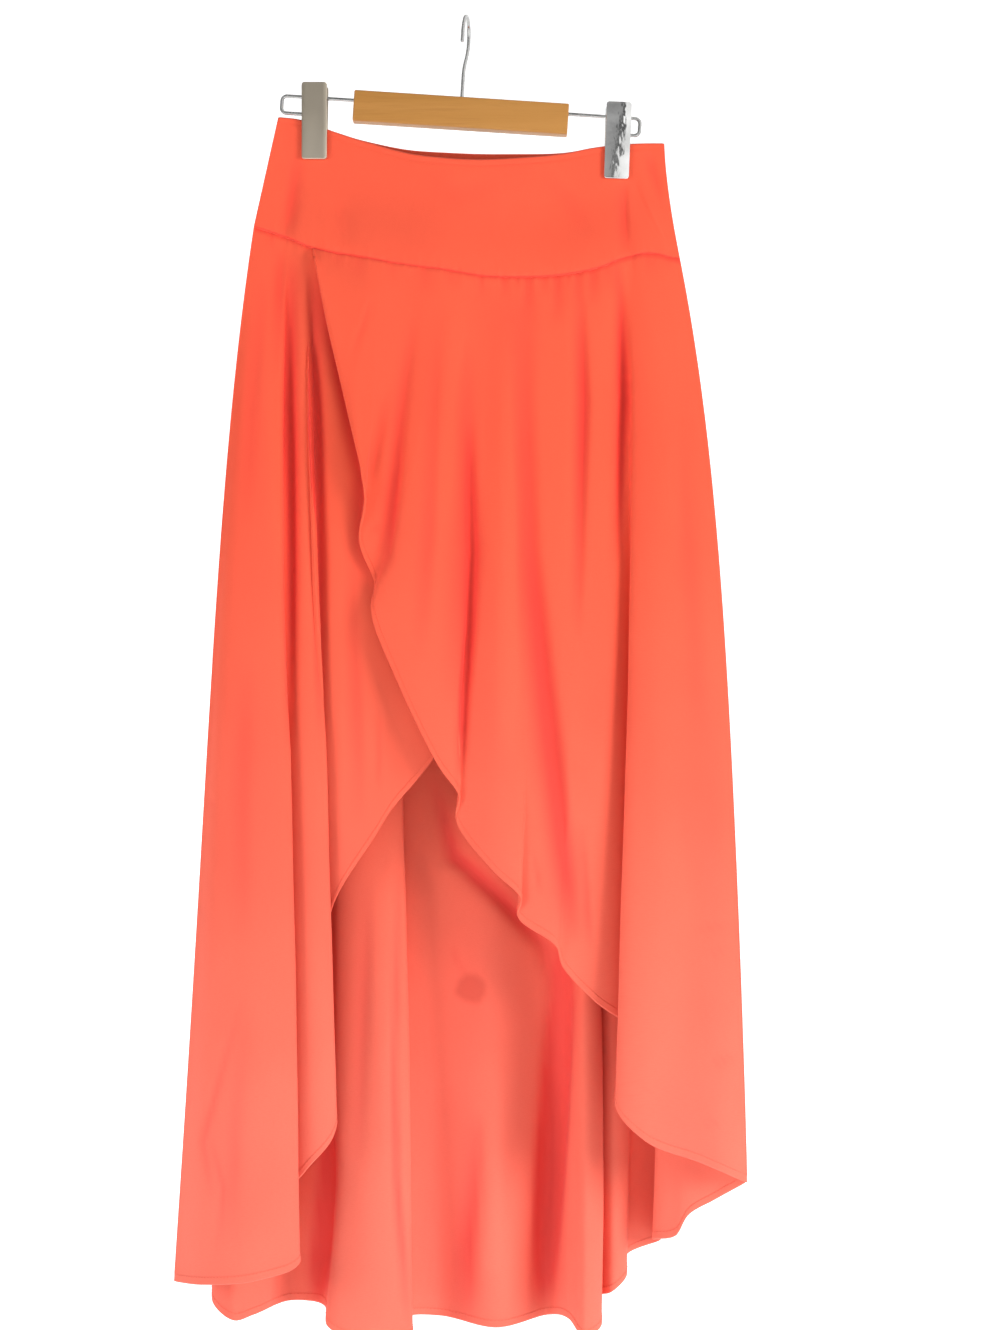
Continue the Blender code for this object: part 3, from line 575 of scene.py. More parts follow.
def panel_grid(panel):
    """Middle surface of a panel, its thickness, how much painted shade it gets from how deep in a fold it is and from
    the waist seam, and the stitching's row.
    """
    cloth = bpy.context.scene.skirt_cloth
    places = [(len(panel.folds) - 1) * c / panel.columns for c in range(panel.columns + 1)]
    columns = [panel_column(panel, place) for place in places]
    lengths = [max((column[1] - column[3]).length, 1.0) for column in columns]
    lines = []
    for column, length in zip(columns, lengths):
        squeeze = min(1.0, 0.75 * length / HEM_ROWS[0])
        body_end = 1 - HEM_ROWS[0] * squeeze / length
        drops = [body_end * r / panel.rows for r in range(panel.rows)]
        drops += [1 - row * squeeze / length for row in HEM_ROWS]
        lines.append([fall(column, drop)[:] for drop in drops])
    grid = np.array(lines).transpose(1, 0, 2)
    fallen = arc_lengths(grid, 0)
    left = fallen[-1:, :] - fallen
    depth = crease_depth(grid, panel.creases) + gather_depth(grid, fallen)
    depth += slow_waves(grid[..., 0], grid[..., 2]) * smooth_step(fallen / 30)
    place = np.array(places)
    holds = np.ones(len(places))
    for end, away in ((panel.folds[0], place), (panel.folds[-1], len(panel.folds) - 1 - place)):
        if end.name == "side":
            holds = np.minimum(holds, smooth_step(away / SIDE_HOLD))
    grid = grid - grid_normals(grid) * (depth * holds)[..., None]
    # Painted shade: share of the darker fold colour, from the crease depth and from the groove along the waist seam
    fold = depth * holds / cloth.painted_shade_depth * MM + seam_shade(fallen, 1.1)
    tuck = grid[0] - grid[1]
    tuck *= cloth.seam_tuck / MM / np.linalg.norm(tuck, axis=1, keepdims=True)
    grid = np.concatenate([(grid[0] + tuck)[None], grid])
    left = np.concatenate([left[:1], left])
    fold = np.concatenate([fold[:1], fold])
    turned = smooth_step((cloth.hem_width / MM - left) / 0.5)
    wall = cloth.shell / MM + (cloth.hem_wall - cloth.shell) / MM * turned
    return grid, wall, fold, len(grid) - len(HEM_ROWS) + HEM_ROWS.index(STITCH_ROW)


def band_grid(side):
    """Middle surface of a waistband layer, its thickness, and how much painted shade it gets from how deep in a fold
    it is and from the waist seam.
    """
    cloth = bpy.context.scene.skirt_cloth
    drops = BAND_TOP_ROWS + [0.07 + 0.87 * r / cloth.band_rows for r in range(1, cloth.band_rows + 1)]
    drops += BAND_SEAM_ROWS
    columns = cloth.band_columns
    grid = np.array([[band_point(side, c / columns, drop)[:] for c in range(columns + 1)] for drop in drops])
    fallen = arc_lengths(grid, 0)
    left = fallen[-1:, :] - fallen
    creases = BAND_CREASES if side == FRONT else BACK_BAND_CREASES
    depth = crease_depth(grid, creases) + seam_pucker(grid[..., 0]) * np.exp(-left / 5.0)
    depth += 0.5 * slow_waves(grid[..., 0], grid[..., 2] * 2)
    depth -= side * 0.30 * np.exp(-(((fallen - cloth.edge_line / MM) / 0.8) ** 2))
    depth -= side * 0.55 * np.exp(-left / 1.6)
    shares = np.arange(columns + 1) / columns
    holds = smooth_step(np.minimum(shares, 1 - shares) / 0.04)
    grid = grid - grid_normals(grid) * (depth * holds)[..., None]
    # Painted shade: share of the darker fold colour, from the crease depth and from the groove along the waist seam
    fold = depth * holds / cloth.painted_shade_depth * MM + seam_shade(left, 0.9)
    sewn = smooth_step(1 - left / 7.0)
    wall = cloth.band_wall / MM + (cloth.band_seam_wall - cloth.band_wall) / MM * sewn
    return grid, wall, fold


def cloth_shell(name, grid, wall, fold, finish):
    """Closed thin shell about a grid of points, with rounded edges, a map laid along the cloth and a point attribute
    that sets its painted fold shade.
    """
    normals = grid_normals(grid)
    rows, columns = grid.shape[:2]
    half = normals * wall[..., None] / 2
    border = [(0, c) for c in range(columns)] + [(r, columns - 1) for r in range(1, rows)]
    border += [(rows - 1, c) for c in range(columns - 2, -1, -1)]
    border += [(r, 0) for r in range(rows - 2, 0, -1)]
    edge = np.array(border)
    inner = np.clip(edge, 1, [rows - 2, columns - 2])
    outward = grid[edge[:, 0], edge[:, 1]] - grid[inner[:, 0], inner[:, 1]]
    outward /= np.linalg.norm(outward, axis=1, keepdims=True)
    rim = grid[edge[:, 0], edge[:, 1]] + outward * wall[edge[:, 0], edge[:, 1], None] * 0.45
    points = np.concatenate([(grid + half).reshape(-1, 3), (grid - half).reshape(-1, 3), rim]) * MM
    index = np.arange(rows * columns).reshape(rows, columns)
    a, b = index[:-1, :-1].ravel(), index[:-1, 1:].ravel()
    d, e = index[1:, :-1].ravel(), index[1:, 1:].ravel()
    count = rows * columns
    near = edge[:, 0] * columns + edge[:, 1]
    ring = 2 * count + np.arange(len(near))
    faces = np.concatenate([
        np.stack([a, d, e, b], 1),
        np.stack([a + count, b + count, e + count, d + count], 1),
        np.stack([near, np.roll(near, -1), np.roll(ring, -1), ring], 1),
        np.stack([ring, np.roll(ring, -1), np.roll(near, -1) + count, near + count], 1),
    ])
    mesh = bpy.data.meshes.new(name)
    mesh.from_pydata(points.tolist(), [], faces.tolist())
    across, down = arc_lengths(grid, 1) * MM, arc_lengths(grid, 0) * MM
    flat = np.stack([across.ravel(), down.ravel()], 1)
    place = np.concatenate([flat, flat, flat[near]])
    loops = np.zeros(len(mesh.loops), int)
    mesh.loops.foreach_get("vertex_index", loops)
    mesh.uv_layers.new(name="cloth").data.foreach_set("uv", place[loops].astype(np.float32).ravel())
    # Painted shade: troughs darken on the near side, and the backs of ridges on the far side
    depths = np.concatenate([fold.ravel(), -fold.ravel(), np.zeros(len(near))])
    shade = mesh.attributes.new("fold", "FLOAT", "POINT")
    shade.data.foreach_set("value", np.clip(depths, 0.0, 1.0).astype(np.float32))
    mesh.shade_smooth()
    return settle(name, mesh, finish)


def line_inside(piece, grid, finish):
    """Give a sheet's near faces, which come first in its mesh, a second finish that paints shade on its inside."""
    near = (grid.shape[0] - 1) * (grid.shape[1] - 1)
    piece.data.materials.append(finish)
    slots = [1] * near + [0] * (len(piece.data.polygons) - near)
    piece.data.polygons.foreach_set("material_index", slots)


def settle(name, mesh, finish):
    """Link a mesh as one piece on the body, with its finish."""
    made = bpy.data.objects.new(name, mesh)
    bpy.context.scene.collection.objects.link(made)
    return hand_over(made, finish)


def hand_over(made, finish):
    """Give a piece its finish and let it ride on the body."""
    made.data.materials.clear()
    made.data.materials.append(finish)
    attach(made, BODY)
    return made


def tube(name, centres, ups, outs, sides, finish):
    """Closed tube whose section has its own two half widths, as vectors, at each centre."""
    rings = []
    for centre, up, out in zip(centres, ups, outs):
        angles = [2 * math.pi * i / sides for i in range(sides)]
        rings.append([centre + up * math.cos(angle) + out * math.sin(angle) for angle in angles])
    points = [point * MM for ring in rings for point in ring]
    faces = []
    for r in range(len(rings) - 1):
        for i in range(sides):
            after = (i + 1) % sides
            faces.append((r * sides + i, r * sides + after, (r + 1) * sides + after, (r + 1) * sides + i))
    faces.append(tuple(range(sides - 1, -1, -1)))
    faces.append(tuple((len(rings) - 1) * sides + i for i in range(sides)))
    mesh = bpy.data.meshes.new(name)
    mesh.from_pydata(points, [], faces)
    edit = bmesh.new()
    edit.from_mesh(mesh)
    bmesh.ops.recalc_face_normals(edit, faces=edit.faces)
    edit.to_mesh(mesh)
    edit.free()
    mesh.shade_smooth()
    return settle(name, mesh, finish)


def side_seam(name, side, finish):
    """Sewn ridge that closes the front and the back along one side, from the waist to the hem."""
    share = 0.0 if side < 0 else 1.0
    centres, wide = [], []
    for r in range(24):
        point = band_point(FRONT, share, r / 24)
        centres.append(Vector((point.x, 0, point.z)))
        wide.append(SIDE_BAND_HALF)
    panel = PANELS["back_panel"]
    column = panel_column(panel, 0 if side < 0 else len(panel.folds) - 1)
    for r in range(121):
        point = fall(column, r / 120)
        centres.append(Vector((point.x, 0, point.z)))
        wide.append(SIDE_BAND_HALF if r < 1 else SIDE_PANEL_HALF)
    ups = [Vector((0, w, 0)) for w in wide]
    outs = []
    for i in range(len(centres)):
        run = (centres[min(i + 1, len(centres) - 1)] - centres[max(i - 1, 0)]).normalized()
        outs.append(Vector((-run.z, 0, run.x)) * SIDE_OUT_HALF)
    for end in (0, -1):
        ups[end] = ups[end] * 0.7
        outs[end] = outs[end] * 0.6
    return tube(name, centres, ups, outs, 12, finish)


def stitches(name, lines, finish):
    """Row of small stitches along each line of points and normals, as one mesh."""
    cloth = bpy.context.scene.skirt_cloth
    length, pitch, half = cloth.stitch_length / MM, cloth.stitch_pitch / MM, cloth.thread / MM / 2
    ring = [(math.cos(a), math.sin(a)) for a in (math.radians(45 + 90 * i) for i in range(4))]
    points, faces = [], []
    for line, normals in lines:
        steps = np.linalg.norm(np.diff(line, axis=0), axis=1)
        run = np.concatenate([[0.0], np.cumsum(steps)])
        for k in range(int(run[-1] / pitch)):
            start = k * pitch
            spots = [start, start + length * 0.25, start + length * 0.75, start + length]
            centre = [np.array([np.interp(s, run, line[:, i]) for i in range(3)]) for s in spots]
            normal = np.array([np.interp(start, run, normals[:, i]) for i in range(3)])
            along = centre[3] - centre[0]
            along /= max(np.linalg.norm(along), 1e-6)
            across = np.cross(normal, along)
            base = len(points)
            points.append(centre[0] - normal * half)
            for middle in centre[1:3]:
                lifted = middle + normal * half * 0.5
                points += [lifted + across * half * c + normal * half * s for c, s in ring]
            points.append(centre[3] - normal * half)
            for i in range(4):
                after = (i + 1) % 4
                faces.append((base, base + 1 + after, base + 1 + i))
                faces.append((base + 1 + i, base + 1 + after, base + 5 + after, base + 5 + i))
                faces.append((base + 5 + i, base + 5 + after, base + 9))
    mesh = bpy.data.meshes.new(name)
    mesh.from_pydata([(Vector(point) * MM)[:] for point in points], [], faces)
    mesh.shade_smooth()
    return settle(name, mesh, finish)


class Value:
    """Output of a node that takes part in Python arithmetic, which adds the Math nodes for it."""

    def __init__(self, finish, socket):
        self.finish = finish
        self.socket = socket

    def __add__(self, other):
        return self.finish.maths("ADD", self, other)

    __radd__ = __add__

    def __sub__(self, other):
        return self.finish.maths("SUBTRACT", self, other)

    def __rsub__(self, other):
        return self.finish.maths("SUBTRACT", other, self)

    def __mul__(self, other):
        return self.finish.maths("MULTIPLY", self, other)

    __rmul__ = __mul__


class Nodes:
    """Node tree that is built up node by node."""

    def __init__(self, tree):
        self.tree = tree

    def node(self, kind, settings=None, inputs=None, output=0):
        """Add a node, set it up, feed its sockets and return one of its outputs."""
        made = self.tree.nodes.new(kind)
        for setting, value in (settings or {}).items():
            setattr(made, setting, value)
        for socket, value in (inputs or {}).items():
            self.feed(made.inputs[socket], value)
        return Value(self, made.outputs[output])

    def feed(self, socket, value):
        """Link a value into a socket, or set a constant on it."""
        if isinstance(value, Value):
            self.tree.links.new(value.socket, socket)
        else:
            socket.default_value = value

    def maths(self, operation, first, second):
        """Math node on two numbers or values."""
        return self.node("ShaderNodeMath", {"operation": operation}, {0: first, 1: second})

    def place(self, scale=(1, 1, 1), kind="Object", turn=(0, 0, 0), shift=(0, 0, 0)):
        """Object coordinates, or the piece's own cloth map, moved, turned and scaled."""
        coordinates = self.node("ShaderNodeTexCoord", output=kind)
        sockets = {"Vector": coordinates, "Location": shift, "Rotation": turn, "Scale": scale}
        return self.node("ShaderNodeMapping", inputs=sockets)

    def noise(self, vector, scale=1.0, detail=2.0, roughness=0.5):
        """Noise about 0.5."""
        sockets = {"Vector": vector, "Scale": scale, "Detail": detail, "Roughness": roughness}
        return self.node("ShaderNodeTexNoise", inputs=sockets)

    def span(self, value, low, high, start=0.0, end=1.0):
        """Smooth run from start to end as a value goes from low to high."""
        sockets = {"Value": value, "From Min": low, "From Max": high, "To Min": start, "To Max": end}
        return self.node("ShaderNodeMapRange", {"interpolation_type": "SMOOTHSTEP"}, sockets)

    def mix(self, share, first, second):
        """Colour between two colours."""
        sockets = {0: share, 6: first, 7: second}
        return self.node("ShaderNodeMix", {"data_type": "RGBA"}, sockets, output=2)

    def axis(self, vector, letter):
        """One coordinate of a vector."""
        return self.node("ShaderNodeSeparateXYZ", inputs={"Vector": vector}, output=letter)


class Finish(Nodes):
    """Procedural material with one Principled shader."""

    def __init__(self, name, **constants):
        self.material = bpy.data.materials.new(name)
        self.material.use_nodes = True
        super().__init__(self.material.node_tree)
        self.shader = self.tree.nodes["Principled BSDF"]
        for socket, value in constants.items():
            self.shader.inputs[socket.replace("_", " ")].default_value = value

    def bump(self, height, distance, strength=1.0):
        """Lead a height in metres times distance into the shader's normal."""
        sockets = {"Height": height, "Distance": distance, "Strength": strength}
        self.feed(self.shader.inputs["Normal"], self.node("ShaderNodeBump", inputs=sockets))

    def surface(self, colour=None, roughness=None, metallic=None):
        """Lead varying values into the shader."""
        for socket, value in (("Base Color", colour), ("Roughness", roughness), ("Metallic", metallic)):
            if value is not None:
                self.feed(self.shader.inputs[socket], value)


def solid(colour):
    """Colour with full alpha."""
    return (*colour, 1.0)


def crepe_finish(name, round_mark=None):
    """Soft matt crepe in coral, with painted light that makes it paler towards the hem, painted shade in its folds, a
    fine grain and faint uneven dye.
    """
    cloth = bpy.context.scene.skirt_cloth
    finish = Finish(name, Roughness=0.8, Sheen_Weight=0.12, Sheen_Roughness=0.5, Specular_IOR_Level=0.25)
    finish.shader.inputs["Sheen Tint"].default_value = solid(cloth.sheen_tint)
    # Painted light: the cloth's colour runs paler from the waist down to the hem
    height = finish.axis(finish.node("ShaderNodeTexCoord", output="Object"), "Z")
    low = finish.span(height, -0.32, -1.08)
    colour = finish.mix(low, solid(cloth.colour_high), solid(cloth.colour_low_painted_light))
    # Painted shade: the fold attribute mixes a darker, redder colour into creases and along the waist seam
    deep = finish.mix(low, solid(cloth.painted_fold_shade_high), solid(cloth.painted_fold_shade_low))
    fold = finish.node("ShaderNodeAttribute", {"attribute_name": "fold"}, output="Fac")
    colour = finish.mix(0.9 * fold, colour, deep)
    dye = finish.noise(finish.place((9, 9, 5)), detail=3.0)
    colour = finish.mix(finish.span(dye, 0.38, 0.68, 0.0, 0.16), colour, solid(cloth.colour_deep))
    slub = finish.noise(finish.place((260, 2100, 1), "UV"), detail=2.0)
    colour = finish.mix(finish.span(slub, 0.40, 0.72, 0.0, 0.10), colour, solid(cloth.colour_deep))
    # A faint darker round mark on the back panel
    if round_mark:
        centre = tuple(-part for part in round_mark)
        away = finish.node("ShaderNodeVectorMath", {"operation": "LENGTH"},
                           {0: finish.place(shift=centre)}, output="Value")
        round_mark_mask = finish.span(away + 0.008 * finish.noise(finish.place((70, 70, 70))), 0.021, 0.012)
        colour = finish.mix(0.5 * round_mark_mask, colour, solid(cloth.round_mark))
    crepe = finish.noise(finish.place((1500, 1150, 1), "UV"), detail=3.0, roughness=0.6)
    rib = finish.noise(finish.place((420, 60, 1), "UV"), detail=1.0)
    finish.surface(colour, finish.span(crepe, 0.3, 0.7, 0.74, 0.88))
    finish.bump(crepe + 0.6 * slub + 0.4 * rib, cloth.crepe_height)
    return finish.material


def painted_shade_inside_finish():
    """The same crepe in a deeper tone, painted shade for the waistband's inside."""
    cloth = bpy.context.scene.skirt_cloth
    finish = Finish("coral_crepe_inside", Roughness=0.85, Specular_IOR_Level=0.2)
    crepe = finish.noise(finish.place((1500, 1150, 1), "UV"), detail=3.0, roughness=0.6)
    slub = finish.noise(finish.place((260, 2100, 1), "UV"))
    finish.surface(finish.mix(finish.span(slub, 0.35, 0.7), solid(cloth.inside), solid(cloth.inside_deep)))
    finish.bump(crepe, cloth.crepe_height)
    return finish.material


def thread_finish():
    """Twisted sewing thread, a shade deeper than the cloth."""
    cloth = bpy.context.scene.skirt_cloth
    finish = Finish("coral_thread", Roughness=0.55, Sheen_Weight=0.1)
    twist = finish.noise(finish.place((1800, 1800, 1800)), detail=1.0)
    finish.surface(finish.mix(finish.span(twist, 0.35, 0.65), solid(cloth.colour_deep), solid(cloth.colour_high)))
    finish.bump(twist, 0.00008)
    return finish.material


def wood_finish():
    """Caramel varnished wood with fine grain along the bar and faint growth bands."""
    hanger = bpy.context.scene.skirt_hanger
    finish = Finish("varnished_bar", Coat_Weight=0.12, Coat_Roughness=0.35, Specular_IOR_Level=0.3)
    turned = (0, -HANGER_TILT, 0)
    grain = finish.noise(finish.place((14, 420, 420), turn=turned), detail=4.0, roughness=0.6)
    bands = finish.noise(finish.place((3.2, 60, 74), turn=turned), detail=2.0)
    pores = finish.noise(finish.place((60, 1900, 1900), turn=turned), detail=1.0)
    colour = finish.mix(finish.span(bands, 0.35, 0.68), solid(hanger.wood), solid(hanger.wood_light))
    colour = finish.mix(finish.span(grain, 0.48, 0.74, 0.0, 0.35), colour, solid(hanger.wood_dark))
    colour = finish.mix(finish.span(pores, 0.60, 0.75, 0.0, 0.25), colour, solid(hanger.wood_dark))
    finish.surface(colour, finish.span(grain, 0.3, 0.7, 0.36, 0.5))
    finish.bump(grain + 0.5 * pores, 0.00012)
    return finish.material


def chrome_finish():
    """Plated wire, dulled by handling, with faint specks."""
    hanger = bpy.context.scene.skirt_hanger
    finish = Finish("plated_wire", Metallic=1.0)
    specks = finish.noise(finish.place((320, 320, 320)), detail=3.0)
    colour = finish.mix(finish.span(specks, 0.45, 0.75, 0.0, 0.6), solid(hanger.wire), solid(hanger.wire_dull))
    finish.surface(colour, finish.span(specks, 0.35, 0.7, 0.12, 0.3))
    finish.bump(specks, 0.00004)
    return finish.material


def brushed_finish():
    """Warm nickel plate, softly brushed, darker towards its top and in cloudy places."""
    hanger = bpy.context.scene.skirt_hanger
    finish = Finish("brushed_plate", Metallic=1.0)
    lines = finish.noise(finish.place((700, 700, 30)), detail=2.0)
    clouds = finish.noise(finish.place((55, 55, 28)), detail=3.0)
    height = finish.axis(finish.node("ShaderNodeTexCoord", output="Object"), "Z")
    darker_top = finish.span(height + 0.02 * clouds, -0.125, -0.055)
    colour = finish.mix(darker_top, solid(hanger.nickel), solid(hanger.nickel_dull))
    finish.surface(colour, finish.span(clouds + 0.3 * lines, 0.4, 0.9, 0.34, 0.46))
    finish.bump(lines, 0.000004)
    return finish.material


def mirror_finish():
    """Mirror plate, bowed across and dented, so that its reflections wrinkle along a slanting line."""
    hanger = bpy.context.scene.skirt_hanger
    finish = Finish("mirror_plate", Metallic=1.0)
    here = finish.node("ShaderNodeTexCoord", output="Object")
    off = finish.axis(here, "X") - 0.143 - 0.172 * finish.axis(here, "Z")
    dents = finish.noise(finish.place((130, 130, 90)), detail=2.0, roughness=0.5)
    clouds = finish.noise(finish.place((40, 40, 30), shift=(0.3, 0.1, 0.2)))
    colour = finish.mix(finish.span(clouds, 0.35, 0.7), solid(hanger.chrome), solid(hanger.chrome_dull))
    finish.surface(colour, finish.span(clouds, 0.3, 0.7, 0.05, 0.14))
    finish.bump(0.0005 * dents - 6.5 * off * off, 1.0)
    return finish.material


def pad_finish():
    """Pale soft plastic with a fine matt skin."""
    hanger = bpy.context.scene.skirt_hanger
    finish = Finish("clip_pad_plastic", Specular_IOR_Level=0.35)
    skin = finish.noise(finish.place((900, 900, 900)), detail=2.0)
    colour = finish.mix(finish.span(skin, 0.3, 0.7), solid(hanger.pad), solid(hanger.pad_worn))
    finish.surface(colour, finish.span(skin, 0.3, 0.7, 0.5, 0.68))
    finish.bump(skin, 0.00005)
    return finish.material


def stage_finish():
    """Plain near-white paper."""
    stage = bpy.context.scene.skirt_stage
    finish = Finish("white_paper", Roughness=0.9, Emission_Strength=stage.paper_glow)
    finish.shader.inputs["Emission Color"].default_value = (1.0, 1.0, 1.0, 1.0)
    mottle = finish.noise(finish.place((4, 4, 4)), detail=2.0)
    finish.surface(finish.mix(mottle, (0.93, 0.93, 0.93, 1.0), (0.96, 0.96, 0.955, 1.0)))
    return finish.material


def finish_once(name, make, *details):
    """The finish of that name, made the first time that it is asked for."""
    found = bpy.data.materials.get(name)
    return found or make(*details)


def deselect():
    """Leave edit mode and select nothing."""
    if bpy.context.object and bpy.context.object.mode != "OBJECT":
        bpy.ops.object.mode_set(mode="OBJECT")
    bpy.ops.object.select_all(action="DESELECT")


def only(piece):
    """Make one piece the active and only selected one."""
    deselect()
    piece.select_set(True)
    bpy.context.view_layer.objects.active = piece
    return piece


def new_box(name, size, centre):
    """Box of a size in millimetres, with its size and place in its mesh."""
    deselect()
    bpy.ops.mesh.primitive_cube_add(size=1.0, location=Vector(centre) * MM, scale=Vector(size) * MM)
    made = bpy.context.object
    made.name = name
    bpy.ops.object.transform_apply(location=True, rotation=True, scale=True)
    return made


def new_rod(name, radius, length, centre, turn=(0, 0, 0), sides=24):
    """Cylinder in millimetres, with its size and place in its mesh."""
    deselect()
    bpy.ops.mesh.primitive_cylinder_add(
        vertices=sides, radius=radius * MM, depth=length * MM, location=Vector(centre) * MM, rotation=turn)
    made = bpy.context.object
    made.name = name
    bpy.ops.object.transform_apply(location=True, rotation=True, scale=True)
    return made


def select_parts(piece, kind, test):
    """In edit mode, select the faces, edges or points whose middle, in millimetres, passes a test."""
    bpy.ops.object.mode_set(mode="EDIT")
    bpy.ops.mesh.select_mode(type=kind)
    bpy.ops.mesh.select_all(action="DESELECT")
    edit = bmesh.from_edit_mesh(piece.data)
    parts = {"FACE": edit.faces, "EDGE": edit.edges, "VERT": edit.verts}[kind]
    for part in parts:
        if kind == "VERT":
            middle = part.co / MM
        else:
            middle = sum((v.co for v in part.verts), Vector()) / len(part.verts) / MM
        part.select_set(bool(test(middle, part)))
    edit.select_flush_mode()
    bmesh.update_edit_mesh(piece.data)


def apply_all(piece):
    """Apply every modifier of a piece in order."""
    only(piece)
    for step in list(piece.modifiers):
        bpy.ops.object.modifier_apply(modifier=step.name)


def cut(piece, *tools):
    """Cut tools out of a piece and delete them."""
    for tool in tools:
        step = piece.modifiers.new("cut", "BOOLEAN")
        step.operation = "DIFFERENCE"
        step.solver = "EXACT"
        step.object = tool
        apply_all(piece)
        bpy.data.objects.remove(tool, do_unlink=True)


def put(piece, place):
    """Move a piece made about the origin in millimetres to its place, into its mesh."""
    only(piece)
    low = place.copy()
    low.translation = place.translation * MM
    piece.matrix_world = low
    bpy.ops.object.transform_apply(location=True, rotation=True, scale=True)
    return piece


def smooth_by_angle(piece, degrees=40):
    """Shade smooth but for edges sharper than an angle."""
    only(piece)
    bpy.ops.object.shade_smooth_by_angle(angle=math.radians(degrees))
    return piece


def join(first, others):
    """Join pieces into the first one."""
    only(first)
    for other in others:
        other.select_set(True)
    bpy.ops.object.join()
    return first


def new_wire(name, points, radius, sides, place, finish):
    """Round wire with domed ends along a list of points in millimetres."""
    deselect()
    dome = [0.0, 0.35, 0.75, 1.0]
    lead = [(share, math.sqrt(1 - (1 - share) ** 2)) for share in dome]
    first, last = Vector(points[0]), Vector(points[-1])
    start_run = (Vector(points[1]) - first).normalized()
    end_run = (last - Vector(points[-2])).normalized()
    route = [(first + start_run * radius * share, max(size, 0.02)) for share, size in lead]
    route += [(Vector(point), 1.0) for point in points[1:-1]]
    route += [(last - end_run * radius * share, max(size, 0.02)) for share, size in reversed(lead)]
    curve = bpy.data.curves.new(name, "CURVE")
    curve.dimensions = "3D"
    curve.bevel_depth = radius * MM
    curve.bevel_resolution = max(1, sides // 2 - 2) // 2
    curve.use_fill_caps = True
    spline = curve.splines.new("POLY")
    spline.points.add(len(route) - 1)
    for slot, (point, size) in zip(spline.points, route):
        slot.co = (*(point * MM), 1.0)
        slot.radius = size
    made = bpy.data.objects.new(name, curve)
    bpy.context.scene.collection.objects.link(made)
    only(made)
    bpy.ops.object.convert(target="MESH")
    put(made, place)
    bpy.ops.object.mode_set(mode="EDIT")
    bpy.ops.mesh.select_all(action="SELECT")
    bpy.ops.mesh.remove_doubles(threshold=0.000001)
    bpy.ops.mesh.normals_make_consistent(inside=False)
    bpy.ops.object.mode_set(mode="OBJECT")
    smooth_by_angle(made, 60)
    return hand_over(made, finish)


def arc(centre, radius, start, end, steps):
    """Points on an arc in the XZ plane, angles in degrees."""
    points = []
    for i in range(steps + 1):
        angle = math.radians(start + (end - start) * i / steps)
        points.append(Vector((centre[0] + radius * math.cos(angle), 0, centre[1] + radius * math.sin(angle))))
    return points


def make_bar(finish):
    """Wooden bar with rounded edges, softly crowned ends and bores for the hook and the wires."""
    hanger = bpy.context.scene.skirt_hanger
    half = BAR_LENGTH / 2
    bar = new_box("hanger_bar_wood", (BAR_LENGTH, BAR_DEPTH, BAR_HEIGHT), (0, 0, BAR_CENTRE_Z))
    select_parts(bar, "FACE", lambda middle, face: abs(middle.x) > half - 0.1)
    bpy.ops.mesh.inset(thickness=1.2 * MM, depth=0.0)
    select_parts(bar, "EDGE", lambda middle, edge: len(edge.link_faces) == 2
                 and edge.calc_face_angle() > math.radians(40))
    bpy.ops.mesh.bevel(offset=hanger.bar_rounding, segments=5, profile=0.5, affect="EDGES", clamp_overlap=True)
    bpy.ops.object.mode_set(mode="OBJECT")
    bore = WIRE_RADIUS + BORE_CLEARANCE
    top = BAR_CENTRE_Z + BAR_HEIGHT / 2
    across = (0, math.pi / 2, 0)
    cut(
        bar,
        new_rod("bore_hook", bore, 2 * BORE_DEPTH, (0, 0, top)),
        new_rod("bore_left", bore, 2 * BORE_DEPTH, (-half, 0, WIRE_Z), across),
        new_rod("bore_right", bore, 2 * BORE_DEPTH, (half, 0, WIRE_Z), across),
    )
    put(bar, hanger_matrix())
    smooth_by_angle(bar, 32)
    hand_over(bar, finish)
    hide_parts("hanger_bar")


def make_wires(finish):
    """Hook that stands in the bar, and the wire at each end that is bent back on itself."""
    place = hanger_matrix() @ Matrix.Rotation(HOOK_TURN, 4, "Z")
    foot = BAR_CENTRE_Z + BAR_HEIGHT / 2 - BORE_DEPTH + SEAM_GAP
    centre_z = WIRE_RADIUS - HOOK_RADIUS
    points = [Vector((0, 0, foot)), Vector((0, 0, (foot + HOOK_NECK_Z) / 2))]
    steps = 24
    for i in range(steps):
        share = i / steps
        points.append(Vector((HOOK_RADIUS * smooth_step(share), 0, HOOK_NECK_Z + (centre_z - HOOK_NECK_Z) * share)))
    points += arc((0, centre_z), HOOK_RADIUS, 0, 180, 40)
    points.append(Vector((-HOOK_RADIUS + 0.4, 0, centre_z - HOOK_TIP_DROP / 2)))
    points.append(Vector((-HOOK_RADIUS - 0.6, 0, centre_z - HOOK_TIP_DROP)))
    hook = new_wire("hanger_hook_wire", points, WIRE_RADIUS, 20, place, finish)
    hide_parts("hanger_hook")
    inner = BAR_LENGTH / 2 - BORE_DEPTH + SEAM_GAP
    for name, side in (("left", -1), ("right", 1)):
        points = [Vector((inner, 0, WIRE_Z)), Vector((WIRE_TAIL_X, 0, WIRE_Z))]
        points += arc((WIRE_END_X - WIRE_BEND, WIRE_Z - WIRE_BEND), WIRE_BEND, 90, 0, 12)
        points += arc((WIRE_END_X - WIRE_BEND, WIRE_RETURN_Z + WIRE_BEND), WIRE_BEND, 0, -90, 12)
        points.append(Vector((WIRE_TAIL_X, 0, WIRE_RETURN_Z)))
        points = [Vector((side * p.x, p.y, p.z)) for p in points]
        wire = new_wire(f"end_wire_{name}", points, WIRE_RADIUS, 20, hanger_matrix(), finish)
        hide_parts(f"hanger_wire_{name}")


